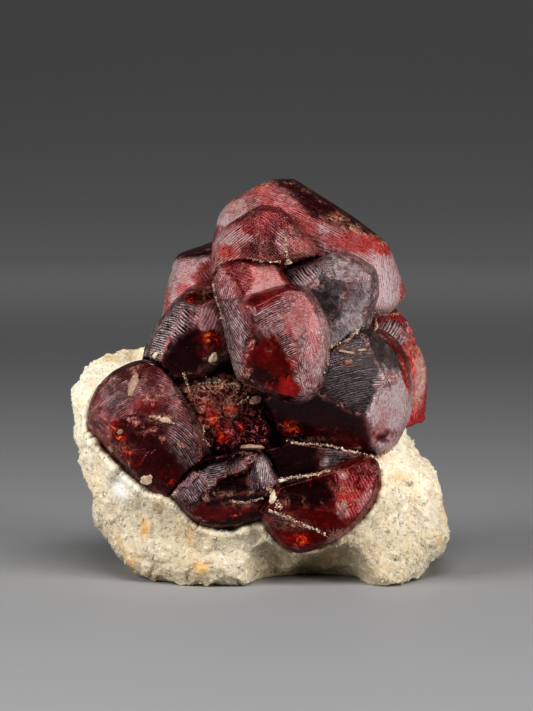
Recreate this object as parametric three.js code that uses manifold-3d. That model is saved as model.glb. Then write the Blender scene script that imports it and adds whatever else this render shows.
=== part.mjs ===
// Garnet crystals on sugary white matrix. Millimetres, +Z up, front of the piece towards -Y.
// Every garnet is a convex crystal given by its corner points; crystals that interpenetrate with
// no seam are joined into one solid, and crystals with a pale seam between them stay apart.
import * as THREE from 'three';
import { ConvexGeometry } from 'three/addons/geometries/ConvexGeometry.js';
import { mergeVertices } from 'three/addons/utils/BufferGeometryUtils.js';
import { ImprovedNoise } from 'three/addons/math/ImprovedNoise.js';
import Module from 'manifold-3d';

const wasm = await Module();
wasm.setup();

// ---- driving dimensions (mm) ----
const SEAM = 0.32;              // width of the pale seam kept between two crystals, and round each in the rock
const ROCK_CENTRE = [-1.5, 4.5, 24.0];  // middle of the matrix block
const ROCK_FRONT = 18.5;        // half depth of the block to the front, at its foot
const ROCK_FRONT_TOP = 6.0;     // the same at its top, where the block leans back behind the crystals
const ROCK_BACK = 19.0;         // half depth of the block to the back
const ROCK_SQUARE = 3.1;        // how blocky the block is (2 is round)
const ROCK_DETAIL = 13;         // mesh steps along one icosahedron edge
const FINE = 0.05;              // edges and slivers smaller than this are closed up
const LUMP = 1.5;               // height of the broad lumps of the rock
const LUMP_SIZE = 9.0;          // their spacing
const CRUMB = 0.7;              // height of the small crumbly lumps
const CRUMB_SIZE = 3.6;         // their spacing
const NOTCH_RISE = 6.2;         // how far the underside rises between the two front feet
const NOTCH_X = [0.5, 17.5];    // where that rise starts and ends across the front

// Silhouette of the matrix seen from the front, as [x, z].
const ROCK_OUTLINE = [
  [-23.0, 44.1], [-29.9, 43.1], [-33.8, 40.2], [-37.3, 35.9], [-37.3, 32.7], [-36.0, 30.8],
  [-36.7, 28.4], [-35.4, 21.8], [-33.2, 16.9], [-32.6, 10.2], [-29.7, 6.3], [-26.9, 2.0],
  [-24.0, -0.5], [-20.0, -3.0], [-8.0, -4.0], [3.0, -4.0], [14.0, -4.0], [24.0, -4.0],
  [31.0, -2.0], [33.0, 2.4], [37.4, 6.1], [37.2, 9.1], [35.8, 12.4], [35.2, 17.9],
  [33.0, 21.2], [30.9, 22.6], [30.9, 24.5], [28.3, 28.0], [28.0, 32.4], [26.6, 39.3],
  [23.6, 48.2], [17.7, 59.4], [7.7, 64.9], [-2.2, 63.9], [-9.1, 58.6], [-15.1, 50.7],
  [-20.0, 45.2],
];

// Corner points of every crystal.
const CORNERS = {
  // central front crystal, a tall drop-shaped habit with the ridged column as its left face
  centre: [
    [-6.76, -16.78, 55.53], [5.53, -19.99, 57.98], [-1.76, -21.55, 54.17], [8.08, -19.90, 57.33],
    [9.89, -20.13, 55.20], [10.10, -20.20, 54.74], [8.09, -22.41, 37.43], [6.87, -22.26, 37.06],
    [3.03, -21.88, 37.90], [-0.48, -21.58, 39.53], [-2.89, -21.37, 40.72], [-1.43, -22.03, 51.50],
    [11.69, -19.65, 51.21], [12.23, -19.67, 47.06], [11.68, -20.33, 41.62], [10.66, -21.02, 38.97],
    [9.09, -21.90, 37.66], [6.78, -22.59, 44.25], [-7.40, -16.19, 55.36], [-3.89, -20.41, 41.12],
    [-5.51, -18.50, 47.18], [-8.61, -12.25, 55.79], [5.59, -15.95, 58.61], [8.64, -16.90, 57.92],
    [10.74, -17.04, 55.44], [12.67, -16.39, 51.16], [13.25, -16.41, 46.74], [12.67, -17.09, 41.05],
    [11.52, -17.88, 38.06], [9.60, -18.94, 36.45], [6.92, -19.44, 35.74], [2.72, -19.03, 36.65],
    [-0.90, -18.71, 38.34], [-4.74, -16.91, 40.06], [-6.47, -14.86, 46.59], [-1.37, -4.16, 55.92],
    [9.54, -5.52, 55.29], [12.71, -5.66, 47.81], [11.87, -6.67, 38.64], [8.14, -7.82, 35.21],
    [0.96, -7.41, 36.56], [-5.38, -5.73, 42.38], [6.01, 3.67, 38.02], [-1.89, 3.41, 40.63],
    [-3.78, 4.40, 47.99], [3.41, 4.95, 51.88], [8.96, 5.01, 45.98],
  ],
  // small crystal grown into the top of the central one
  centre_top: [
    [-0.50, -14.99, 61.70], [2.56, -14.75, 61.43], [4.64, -15.78, 58.31], [4.63, -16.66, 56.14],
    [-7.71, -14.43, 60.97], [-3.89, -14.40, 61.92], [-3.51, -17.06, 57.42], [-8.16, -15.06, 57.68],
    [-2.54, -18.22, 54.27], [-7.26, -16.00, 55.37], [-9.19, -11.90, 57.30], [-8.61, -11.10, 61.48],
    [-4.00, -11.05, 62.63], [3.12, -11.54, 62.09], [5.61, -12.77, 58.34], [5.61, -14.05, 55.18],
    [-2.63, -15.64, 53.01], [-8.02, -13.10, 54.32], [-8.72, -3.91, 58.69], [-0.51, -3.82, 61.58],
    [5.37, -4.92, 56.06], [-5.26, -5.53, 53.03], [-2.79, 3.56, 59.41], [1.42, 4.13, 58.64],
    [1.00, 3.33, 54.25], [-2.84, 3.64, 53.41], [-6.35, 3.76, 56.40],
  ],
  // large dark crystal on the right, four broad faces
  right: [
    [19.47, -13.96, 48.93], [22.86, -11.34, 48.57], [25.20, -10.36, 46.98], [26.79, -10.55, 44.51],
    [28.24, -11.23, 41.46], [28.43, -11.76, 40.35], [8.12, -17.15, 40.31], [14.05, -15.45, 44.93],
    [23.65, -15.94, 40.09], [20.12, -18.29, 32.27], [28.79, -11.26, 38.41], [28.45, -11.06, 33.40],
    [27.15, -11.90, 30.18], [25.73, -12.88, 27.49], [22.92, -15.23, 26.18], [1.34, -13.72, 33.48],
    [2.13, -14.48, 34.90], [6.98, -17.49, 39.39], [21.53, -16.49, 26.56], [6.15, -13.12, 28.54],
    [2.88, -12.97, 30.43], [0.23, -10.64, 33.14], [1.39, -11.74, 35.21], [7.54, -14.23, 40.73],
    [13.51, -12.52, 45.38], [19.32, -10.74, 49.65], [23.27, -7.74, 49.17], [26.03, -6.58, 47.30],
    [27.78, -6.80, 44.59], [29.32, -7.52, 41.35], [29.91, -7.58, 38.04], [29.56, -7.38, 32.74],
    [28.18, -8.26, 29.33], [26.60, -9.36, 26.34], [23.22, -12.17, 24.76], [5.85, -9.88, 27.19],
    [2.17, -9.71, 29.32], [1.38, -1.39, 33.12], [10.86, -1.91, 41.60], [21.32, 0.32, 47.98],
    [26.73, 1.30, 44.76], [29.36, 0.35, 38.70], [28.62, -0.02, 30.30], [24.82, -1.67, 24.82],
    [4.49, -1.08, 27.49], [23.44, 7.64, 30.42], [14.03, 7.74, 28.28], [7.41, 7.90, 34.08],
    [13.51, 8.75, 39.06], [22.28, 9.46, 41.13],
  ],
  // deep red crystal at the bottom right
  lower_right: [
    [1.69, -21.78, 16.97], [3.69, -21.87, 19.85], [12.81, -22.07, 22.72], [18.73, -19.66, 24.22],
    [21.11, -18.76, 24.10], [22.42, -18.35, 22.86], [22.27, -18.64, 20.17], [21.74, -19.01, 18.14],
    [20.32, -19.74, 15.94], [18.11, -20.77, 13.70], [0.52, -21.27, 15.22], [14.79, -21.93, 15.23],
    [16.82, -21.35, 12.68], [15.55, -20.99, 11.51], [13.03, -20.48, 9.96], [9.19, -19.90, 8.39],
    [6.86, -19.69, 8.02], [4.77, -19.81, 8.85], [2.70, -20.23, 10.83], [0.93, -20.93, 13.81],
    [-0.53, -18.50, 14.98], [3.11, -19.11, 20.29], [18.65, -16.87, 24.81], [21.56, -15.76, 24.66],
    [23.51, -15.17, 22.83], [23.32, -15.51, 19.58], [22.74, -15.92, 17.31], [21.18, -16.72, 14.90],
    [18.85, -17.80, 12.55], [16.17, -18.04, 10.25], [13.49, -17.49, 8.61], [9.47, -16.88, 6.96],
    [6.78, -16.65, 6.54], [4.27, -16.79, 7.53], [1.96, -17.26, 9.74], [0.04, -18.00, 12.96],
    [1.71, -7.06, 15.86], [20.06, -5.43, 22.90], [23.26, -5.18, 19.56], [21.85, -5.90, 14.55],
    [17.53, -7.11, 9.91], [11.64, -6.75, 6.45], [5.83, -6.58, 5.76], [1.43, -6.76, 9.86],
    [5.67, 3.44, 9.37], [8.46, 3.99, 15.83], [14.17, 4.44, 17.54], [17.50, 3.36, 11.93],
    [12.62, 3.63, 8.07],
  ],
  // glossy dark crystal at the bottom middle
  lower_middle: [
    [-9.89, -17.58, 24.97], [-3.85, -17.77, 26.10], [-0.26, -18.12, 26.46], [-3.50, -20.36, 22.78],
    [1.34, -18.09, 24.66], [2.51, -18.37, 22.33], [2.17, -19.19, 19.95], [-13.57, -19.82, 14.84],
    [-16.75, -17.46, 17.65], [-15.49, -17.81, 19.51], [-12.87, -18.68, 22.62], [-10.15, -20.54, 21.02],
    [-13.29, -19.67, 14.53], [-10.75, -20.85, 17.77], [-1.42, -20.69, 19.22], [1.48, -19.98, 18.15],
    [0.92, -19.32, 16.52], [-1.32, -18.08, 13.21], [-4.17, -17.87, 12.16], [-9.22, -18.25, 12.04],
    [-11.20, -18.74, 12.78], [-13.99, -16.62, 13.34], [-18.09, -14.01, 17.03], [-16.33, -14.49, 19.63],
    [-13.61, -15.40, 22.87], [-10.36, -14.11, 25.41], [-4.00, -14.31, 26.60], [0.43, -14.74, 27.04],
    [2.16, -14.89, 24.74], [3.50, -15.21, 22.06], [3.12, -16.17, 19.29], [1.77, -16.26, 15.61],
    [-0.73, -14.88, 11.90], [-4.01, -14.64, 10.70], [-9.41, -15.04, 10.56], [-11.71, -15.61, 11.43],
    [-15.93, -5.58, 13.89], [-14.89, -4.98, 19.76], [-7.30, -4.39, 24.41], [0.95, -4.69, 24.26],
    [2.92, -5.35, 19.15], [0.20, -5.68, 12.48], [-6.84, -5.51, 9.52], [-12.83, -6.00, 11.11],
    [-2.54, 4.04, 13.15], [-8.63, 3.33, 11.12], [-13.88, 3.79, 15.53], [-9.31, 5.48, 20.06],
    [-2.38, 5.45, 20.49],
  ],
  // big left crystal with curved growth faces
  left: [
    [-32.45, -11.54, 35.41], [-30.87, -10.60, 38.37], [-28.57, -10.46, 40.48], [-25.29, -10.97, 42.25],
    [-26.58, -15.99, 32.39], [-29.56, -14.92, 31.84], [-24.76, -10.86, 42.52], [-21.88, -11.04, 42.88],
    [-20.17, -11.70, 42.33], [-17.26, -14.15, 39.56], [-14.93, -17.05, 36.02], [-13.44, -17.99, 33.61],
    [-11.03, -20.09, 27.59], [-11.10, -20.50, 26.09], [-22.45, -15.59, 36.44], [-11.20, -20.25, 24.24],
    [-13.06, -19.30, 21.42], [-16.27, -17.97, 19.27], [-18.35, -17.18, 18.46], [-20.25, -16.52, 18.37],
    [-22.27, -15.97, 19.47], [-24.10, -15.53, 21.02], [-27.05, -13.55, 23.31], [-31.29, -11.14, 27.56],
    [-33.24, -10.49, 30.48], [-33.17, -11.61, 32.74], [-32.90, -12.32, 33.68], [-33.52, -8.17, 35.38],
    [-31.81, -7.14, 38.58], [-29.28, -6.99, 40.90], [-25.18, -7.40, 43.10], [-21.87, -7.61, 43.51],
    [-19.72, -8.43, 42.82], [-16.56, -11.08, 39.80], [-12.63, -15.24, 33.69], [-10.11, -17.44, 27.40],
    [-10.30, -17.76, 23.58], [-12.44, -16.68, 20.33], [-15.94, -15.23, 17.99], [-18.27, -14.34, 17.08],
    [-20.61, -13.54, 16.96], [-22.94, -12.90, 18.24], [-27.89, -9.62, 22.07], [-32.26, -7.16, 26.45],
    [-34.41, -6.44, 29.69], [-34.33, -7.78, 32.40], [-32.58, -0.75, 35.89], [-27.31, -0.32, 40.77],
    [-21.09, -0.58, 41.84], [-15.12, -3.45, 35.36], [-10.88, -6.07, 24.17], [-14.74, -5.51, 18.15],
    [-19.83, -4.70, 16.23], [-25.59, -3.32, 19.45], [-33.19, -0.84, 27.37], [-33.79, -1.43, 32.94],
    [-16.93, 5.89, 29.91], [-17.83, 5.51, 20.99], [-26.37, 5.76, 23.40], [-29.86, 5.50, 30.70],
    [-22.57, 6.49, 36.44],
  ],
  // small crystal above the big left one
  left_upper: [
    [-11.59, -9.95, 56.93], [-9.88, -10.33, 56.83], [-14.89, -13.80, 53.93], [-13.90, -10.72, 56.16],
    [-19.39, -12.75, 43.50], [-21.25, -10.38, 44.53], [-21.38, -9.89, 45.51], [-18.61, -10.91, 50.89],
    [-15.97, -12.48, 54.38], [-15.70, -12.67, 54.64], [-14.37, -13.60, 40.49], [-17.53, -13.06, 42.19],
    [-10.10, -14.49, 45.55], [-9.12, -12.76, 55.22], [-8.94, -12.74, 54.77], [-7.44, -12.90, 48.14],
    [-7.10, -13.05, 45.76], [-12.04, -14.32, 53.85], [-6.94, -12.64, 44.53], [-8.86, -13.01, 42.31],
    [-11.42, -13.90, 40.86], [-11.79, -14.08, 40.83], [-11.80, -5.88, 57.56], [-9.27, -6.44, 57.41],
    [-8.07, -9.48, 54.77], [-6.53, -9.65, 48.00], [-5.96, -9.25, 43.87], [-8.28, -9.69, 41.20],
    [-11.16, -10.70, 39.56], [-14.64, -10.76, 39.18], [-18.13, -10.17, 41.06], [-22.29, -6.81, 43.62],
    [-22.50, -5.98, 45.29], [-19.54, -7.06, 51.05], [-16.77, -8.70, 54.70], [-14.49, -6.78, 56.67],
    [-10.80, 1.12, 56.49], [-7.69, -0.76, 50.43], [-7.50, -1.20, 41.89], [-13.13, -2.10, 38.78],
    [-20.18, -1.22, 41.80], [-20.97, 0.45, 47.49], [-15.77, 0.18, 54.69], [-14.36, 6.76, 41.13],
    [-19.57, 7.07, 45.02], [-16.85, 8.41, 49.69], [-11.22, 8.79, 51.58], [-9.69, 7.37, 45.38],
  ],
  // low rough crystal in the middle of the cluster
  core: [
    [-4.39, -11.60, 39.29], [-1.89, -13.37, 37.34], [-15.89, -12.46, 38.15], [-16.01, -11.96, 38.73],
    [-10.71, -11.24, 39.62], [-11.94, -15.15, 27.31], [-12.83, -14.62, 27.86], [-15.01, -13.17, 33.12],
    [-11.72, -14.93, 35.43], [-6.40, -15.22, 25.78], [-10.19, -15.19, 26.11], [0.38, -12.53, 35.29],
    [-0.12, -12.78, 30.63], [-2.70, -13.80, 26.95], [-6.03, -14.96, 35.48], [-4.04, -8.06, 39.85],
    [1.39, -9.36, 35.32], [0.81, -9.65, 29.89], [-2.09, -10.80, 25.75], [-6.33, -12.42, 24.40],
    [-10.58, -12.44, 24.80], [-13.69, -11.42, 26.81], [-16.03, -9.87, 32.46], [-17.21, -8.53, 39.12],
    [-10.83, -7.66, 40.20], [-1.62, -0.66, 36.44], [-0.96, -1.32, 26.85], [-8.57, -2.51, 23.60],
    [-14.79, -1.41, 28.57], [-13.96, 0.30, 38.42], [-7.90, 8.80, 34.91], [-2.45, 7.63, 31.68],
    [-5.30, 7.67, 25.76], [-11.19, 7.41, 26.31], [-13.46, 7.77, 32.14],
  ],
  // grey crystal under the right wing of the crown
  upper_right: [
    [6.54, -12.01, 57.25], [5.93, -9.88, 60.79], [7.86, -10.18, 61.65], [11.17, -10.98, 62.56],
    [15.01, -10.43, 63.51], [18.41, -11.27, 62.37], [12.25, -12.89, 59.78], [12.96, -14.54, 47.79],
    [10.60, -13.89, 49.98], [6.86, -12.43, 56.70], [21.16, -12.81, 60.20], [21.55, -12.42, 56.66],
    [20.50, -12.47, 52.75], [18.73, -12.86, 50.31], [15.87, -13.59, 47.69], [13.72, -14.24, 47.04],
    [17.47, -13.88, 58.49], [5.64, -9.05, 56.67], [4.88, -6.39, 61.10], [7.58, -6.80, 62.30],
    [15.12, -6.99, 64.25], [18.97, -7.94, 62.97], [22.21, -9.74, 60.40], [22.62, -9.30, 56.30],
    [21.48, -9.36, 52.04], [19.54, -9.79, 49.37], [16.44, -10.58, 46.54], [13.53, -11.45, 45.66],
    [9.87, -11.06, 49.10], [5.66, 1.06, 57.99], [11.58, 1.39, 62.30], [20.59, 0.70, 60.65],
    [22.00, 0.07, 53.36], [18.05, -0.65, 47.29], [11.94, -1.31, 46.70], [19.56, 9.56, 54.18],
    [16.48, 9.37, 48.69], [11.25, 8.45, 50.48], [8.83, 9.11, 55.93], [14.94, 9.24, 59.13],
  ],
  // big top crystal, long sloping top right face
  crown: [
    [24.61, -4.03, 64.83], [6.31, 2.18, 77.09], [17.05, -0.69, 70.33], [3.57, -5.72, 71.84],
    [6.70, -4.38, 73.18], [23.46, -5.60, 64.48], [21.66, -8.76, 59.17], [24.70, -4.37, 64.59],
    [28.58, -3.19, 54.88], [27.60, -4.44, 53.74], [26.00, -6.32, 52.54], [-9.29, -3.92, 65.91],
    [-8.20, -1.42, 70.20], [-5.63, -0.90, 73.30], [-1.45, -1.96, 75.83], [-0.37, -5.24, 72.55],
    [-0.99, -2.13, 76.05], [1.91, -0.91, 77.27], [2.29, -0.89, 77.26], [22.68, -9.45, 52.86],
    [7.67, -7.89, 52.88], [-5.59, -6.15, 56.91], [-9.09, -5.24, 62.74], [-9.19, -5.07, 64.51],
    [25.20, -0.88, 64.97], [29.36, -0.37, 54.54], [28.13, -1.93, 53.11], [26.30, -4.07, 51.74],
    [7.60, -5.75, 52.10], [-6.00, -3.96, 56.23], [-9.70, -3.01, 62.39], [-9.92, -1.28, 65.78],
    [-8.78, 1.35, 70.29], [-6.04, 1.90, 73.59], [-1.73, 0.81, 76.19], [1.78, 1.85, 77.70],
    [6.50, 5.46, 77.50], [17.46, 2.54, 70.61], [26.38, 8.88, 59.34], [26.36, 7.59, 52.34],
    [1.43, 6.84, 53.88], [-8.59, 8.36, 63.34], [-6.31, 10.69, 70.84], [0.70, 10.69, 75.54],
    [11.95, 11.88, 72.88], [14.67, 19.23, 67.00], [21.09, 17.20, 55.99], [7.81, 17.09, 55.60],
    [-2.10, 18.11, 62.69], [6.84, 19.00, 71.34],
  ],
  // sub-crystal grown through the front of the crown
  crown_front: [
    [-7.67, -12.93, 62.24], [-8.56, -11.91, 63.65], [-8.27, -11.33, 65.37], [-6.38, -11.13, 68.10],
    [-1.59, -12.16, 71.31], [-0.17, -12.55, 72.04], [-2.13, -15.45, 62.78], [5.13, -13.30, 70.55],
    [5.74, -13.60, 69.82], [4.22, -16.13, 63.47], [-0.30, -16.25, 63.03], [9.08, -12.19, 65.59],
    [9.49, -12.02, 65.04], [5.35, -15.32, 63.52], [0.39, -12.10, 72.29], [3.31, -12.70, 71.84],
    [-8.24, -10.29, 61.03], [-9.61, -8.71, 63.22], [-9.23, -7.95, 65.49], [-7.11, -7.72, 68.57],
    [-2.08, -8.79, 71.92], [0.23, -7.77, 73.02], [3.70, -8.49, 72.48], [5.81, -10.24, 71.05],
    [9.88, -8.73, 65.93], [11.04, -8.26, 64.35], [5.61, -12.57, 62.37], [-2.06, -13.08, 61.64],
    [-8.64, -2.26, 61.75], [-7.90, -1.24, 66.55], [-0.88, -1.35, 71.81], [4.64, -1.79, 71.09],
    [10.16, -1.64, 64.71], [1.74, -4.21, 61.53], [-0.41, 5.85, 69.27], [3.89, 6.02, 68.30],
    [4.48, 5.01, 63.32], [-0.37, 5.68, 62.53], [-4.80, 5.22, 65.94],
  ],
  // crystal behind and under the crown on the left
  left_back: [
    [-15.50, -0.71, 62.01], [-9.62, 0.04, 64.10], [-6.95, -1.93, 63.97], [-6.93, -2.38, 63.76],
    [-12.25, -4.09, 61.39], [-15.86, -1.79, 61.40], [-13.30, -6.71, 51.90], [-17.93, -3.56, 52.48],
    [-17.14, -2.47, 57.07], [-16.22, -1.78, 60.76], [-6.60, -4.10, 56.64], [-12.10, -6.52, 51.66],
    [-16.29, 3.93, 62.45], [-9.82, 4.77, 64.75], [-6.05, 1.99, 64.56], [-5.64, -1.21, 55.99],
    [-11.85, -3.93, 50.36], [-19.15, -0.33, 51.40], [-18.19, 0.99, 56.98], [-17.22, 1.71, 60.85],
    [-13.14, 9.55, 62.95], [-6.18, 7.33, 59.60], [-15.55, 5.61, 50.43], [-17.67, 7.94, 58.31],
    [-15.06, 15.26, 59.39], [-9.61, 15.75, 60.70], [-8.73, 15.17, 55.09], [-12.56, 13.90, 51.79],
    [-16.40, 15.20, 54.96],
  ],
  // bright sliver crystal behind the large right one
  right_back: [
    [23.23, -8.38, 42.52], [22.22, -5.42, 46.60], [23.23, -2.38, 50.02], [26.98, -1.32, 49.92],
    [25.86, -7.78, 32.12], [28.85, -3.70, 46.24], [30.34, -2.98, 43.24], [31.67, -2.55, 38.94],
    [31.31, -3.29, 35.37], [28.20, -6.09, 31.66], [25.15, -5.70, 30.97], [21.29, -2.92, 46.35],
    [22.57, 0.93, 50.69], [27.72, 2.37, 50.55], [31.40, 0.55, 43.24], [32.82, 1.00, 38.65],
    [32.41, 0.17, 34.59], [28.76, -3.11, 30.25], [23.62, 3.37, 37.88], [25.42, 7.56, 49.64],
    [32.17, 6.64, 40.28], [30.72, 5.15, 31.95], [29.00, 12.61, 43.13], [30.76, 12.54, 38.89],
    [29.21, 11.98, 33.43], [25.32, 12.11, 37.48], [24.36, 13.87, 41.31],
  ],
  // narrow dark bar between the right and lower right crystals
  lower_bar: [
    [3.04, -16.43, 23.43], [2.19, -16.45, 26.56], [7.63, -16.92, 27.91], [11.45, -17.22, 27.95],
    [7.37, -16.73, 21.68], [4.53, -16.49, 21.33], [13.11, -16.77, 27.89], [16.72, -15.79, 26.50],
    [18.05, -15.42, 25.59], [15.71, -16.03, 24.18], [13.15, -16.70, 22.99], [11.69, -17.10, 22.72],
    [2.16, -13.57, 22.62], [1.00, -13.60, 26.89], [7.55, -14.16, 28.52], [13.33, -13.96, 28.50],
    [17.21, -12.91, 27.00], [19.93, -12.16, 25.15], [16.25, -13.12, 22.94], [13.53, -13.83, 21.68],
    [7.56, -13.94, 20.33], [4.09, -13.65, 19.90], [1.95, -5.78, 23.69], [10.55, -5.94, 27.29],
    [18.43, -5.23, 25.03], [14.86, -5.86, 21.34], [6.06, -6.13, 19.20], [13.78, 2.39, 24.17],
    [12.61, 1.18, 20.67], [9.91, 2.50, 19.85], [5.28, 2.02, 22.22], [9.89, 1.89, 24.71],
  ],
};

// Which crystals make one solid, front ones first: a later solid is cut back by the seam round an earlier one.
const SOLIDS = [
  ['garnet_centre', ['centre', 'centre_top'], 0x6e1016],
  ['garnet_right', ['right'], 0x3a0d12],
  ['garnet_lower_right', ['lower_right'], 0x6a0c12],
  ['garnet_lower_middle', ['lower_middle'], 0x430a10],
  ['garnet_left', ['left'], 0x5c1016],
  ['garnet_left_upper', ['left_upper'], 0x641014],
  ['garnet_core', ['core'], 0x5c1812],
  ['garnet_upper_right', ['upper_right'], 0x4c3338],
  ['garnet_crown', ['crown', 'crown_front'], 0x7a1a22],
  ['garnet_left_back', ['left_back'], 0x6a1820],
  ['garnet_right_back', ['right_back'], 0x9a2418],
  ['garnet_lower_bar', ['lower_bar'], 0x340a10],
];

function toManifold(geometry) {
  const g = geometry.clone();
  for (const name of Object.keys(g.attributes)) if (name !== 'position') g.deleteAttribute(name);
  const merged = mergeVertices(g, 1e-4);
  return new wasm.Manifold(new wasm.Mesh({
    numProp: 3,
    vertProperties: new Float32Array(merged.attributes.position.array),
    triVerts: new Uint32Array(merged.index.array),
  }));
}

function toGeometry(solid) {
  const m = solid.getMesh();
  const pos = new Float32Array(m.numVert * 3);
  for (let i = 0; i < m.numVert; i++) {
    for (let k = 0; k < 3; k++) pos[3 * i + k] = m.vertProperties[m.numProp * i + k];
  }
  const g = new THREE.BufferGeometry();
  g.setAttribute('position', new THREE.BufferAttribute(pos, 3));
  g.setIndex(new THREE.BufferAttribute(new Uint32Array(m.triVerts), 1));
  return g;
}

function hullOf(points) {
  return new ConvexGeometry(points);
}

// The flat faces of a convex body, each as an outward normal and its distance from the origin.
function facesOf(geometry) {
  const p = geometry.attributes.position;
  const planes = [];
  const a = new THREE.Vector3(), b = new THREE.Vector3(), c = new THREE.Vector3();
  for (let i = 0; i < p.count; i += 3) {
    a.fromBufferAttribute(p, i); b.fromBufferAttribute(p, i + 1); c.fromBufferAttribute(p, i + 2);
    const n = b.clone().sub(a).cross(c.clone().sub(a));
    if (n.length() < 1e-6) continue;
    n.normalize();
    const d = n.dot(a);
    if (!planes.some((q) => q.n.dot(n) > 0.99995 && Math.abs(q.d - d) < 0.02)) planes.push({ n, d });
  }
  return planes;
}

// The same body with every face moved outwards by a step: corners where three moved faces meet inside all others.
function grown(geometry, step) {
  const planes = facesOf(geometry).map((q) => ({ n: q.n, d: q.d + step }));
  const points = [];
  const m = new THREE.Matrix3();
  for (let i = 0; i < planes.length; i++) for (let j = i + 1; j < planes.length; j++) for (let k = j + 1; k < planes.length; k++) {
    const A = planes[i].n, B = planes[j].n, C = planes[k].n;
    m.set(A.x, A.y, A.z, B.x, B.y, B.z, C.x, C.y, C.z);
    if (Math.abs(m.determinant()) < 1e-4) continue;
    const v = new THREE.Vector3(planes[i].d, planes[j].d, planes[k].d).applyMatrix3(m.invert());
    if (planes.every((q) => q.n.dot(v) <= q.d + 1e-3)) {
      if (!points.some((w) => w.distanceToSquared(v) < 1e-4)) points.push(v);
    }
  }
  return hullOf(points);
}

function joined(list) {
  return list.reduce((sum, next) => (sum ? sum.add(next) : next), null);
}

// The biggest single body of a cut solid, with edges shorter than the fine step closed up.
function mainBody(solid) {
  const pieces = solid.decompose();
  pieces.sort((x, y) => y.volume() - x.volume());
  return pieces[0].asOriginal().simplify(FINE);
}

// ---- the matrix block ----
const noise = new ImprovedNoise();
const outline = ROCK_OUTLINE.map(([x, z]) => {
  const dx = x - ROCK_CENTRE[0], dz = z - ROCK_CENTRE[2];
  return { angle: Math.atan2(dz, dx), radius: Math.hypot(dx, dz) };
}).sort((p, q) => p.angle - q.angle);

function outlineRadius(angle) {
  const n = outline.length;
  for (let i = 0; i < n; i++) {
    const p = outline[i], q = outline[(i + 1) % n];
    const span = (q.angle - p.angle + 2 * Math.PI) % (2 * Math.PI);
    const at = (angle - p.angle + 2 * Math.PI) % (2 * Math.PI);
    if (at <= span) {
      // straight line between the two outline points, in polar form
      const x0 = p.radius * Math.cos(p.angle), y0 = p.radius * Math.sin(p.angle);
      const x1 = q.radius * Math.cos(q.angle), y1 = q.radius * Math.sin(q.angle);
      const c = Math.cos(angle), s = Math.sin(angle);
      const den = c * (y1 - y0) - s * (x1 - x0);
      return Math.abs(den) < 1e-6 ? p.radius : (x0 * (y1 - y0) - y0 * (x1 - x0)) / den;
    }
  }
  return outline[0].radius;
}

function smooth(t) {
  const s = Math.min(1, Math.max(0, t));
  return s * s * (3 - 2 * s);
}

function rockGeometry() {
  const g = mergeVertices(new THREE.IcosahedronGeometry(1, ROCK_DETAIL).deleteAttribute('normal').deleteAttribute('uv'), 1e-5);
  const p = g.attributes.position;
  const d = new THREE.Vector3();
  for (let i = 0; i < p.count; i++) {
    d.fromBufferAttribute(p, i).normalize();
    const flat = Math.hypot(d.x, d.z);
    const radius = outlineRadius(Math.atan2(d.z, d.x));
    const lean = smooth((d.z * 1.3 + 0.25));
    const front = ROCK_FRONT + (ROCK_FRONT_TOP - ROCK_FRONT) * lean;
    const half = d.y < 0 ? front : ROCK_BACK;
    let r = 1 / Math.pow(Math.pow(flat / radius, ROCK_SQUARE) + Math.pow(Math.abs(d.y) / half, ROCK_SQUARE), 1 / ROCK_SQUARE);
    const x = d.x * r, y = d.y * r, z = d.z * r;
    r += LUMP * noise.noise(x / LUMP_SIZE + 3.1, y / LUMP_SIZE + 7.7, z / LUMP_SIZE + 1.3);
    r += CRUMB * noise.noise(x / CRUMB_SIZE + 9.2, y / CRUMB_SIZE + 2.4, z / CRUMB_SIZE + 5.6);
    const px = ROCK_CENTRE[0] + d.x * r;
    const py = ROCK_CENTRE[1] + d.y * r;
    let pz = ROCK_CENTRE[2] + d.z * r;
    if (pz < 9) {
      const across = smooth((px - NOTCH_X[0] + 4) / 5) * smooth((NOTCH_X[1] + 4 - px) / 5);
      const ahead = smooth((4 - py) / 9);
      pz += NOTCH_RISE * across * ahead * smooth((9 - pz) / 8);
    }
    p.setXYZ(i, px, py, pz);
  }
  return g;
}

// ---- solids ----
const shapes = {};
for (const [name, pts] of Object.entries(CORNERS)) {
  shapes[name] = hullOf(pts.map((q) => new THREE.Vector3(...q)));
}

const below = new THREE.BoxGeometry(300, 300, 60);
below.translate(0, 0, -30);

const group = new THREE.Group();
group.name = 'garnet_in_matrix';

function addPiece(name, solid, colour, roughness) {
  const mesh = new THREE.Mesh(toGeometry(solid), new THREE.MeshStandardMaterial({ color: colour, roughness, metalness: 0 }));
  mesh.name = name;
  group.add(mesh);
}

let taken = null; // room of all the crystals so far, with their seams
for (const [name, members, colour] of SOLIDS) {
  let solid = joined(members.map((m) => toManifold(shapes[m])));
  if (taken) solid = solid.subtract(taken);
  addPiece(name, mainBody(solid), colour, 0.25);
  const room = joined(members.map((m) => toManifold(grown(shapes[m], SEAM))));
  taken = taken ? taken.add(room) : room;
}

const rock = toManifold(rockGeometry()).subtract(toManifold(below)).subtract(taken);
addPiece('matrix_rock', mainBody(rock), 0xe4dcc6, 0.85);

// The origin goes on the ground under the middle of the outline.
const middle = new THREE.Box3().setFromObject(group).getCenter(new THREE.Vector3());
for (const mesh of group.children) mesh.position.set(-middle.x, -middle.y, 0);

export default group;
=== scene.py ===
# Garnet crystals on sugary white matrix: the looks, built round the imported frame.
import bpy, bmesh, math
import numpy as np
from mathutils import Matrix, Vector
from mathutils.bvhtree import BVHTree


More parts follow.
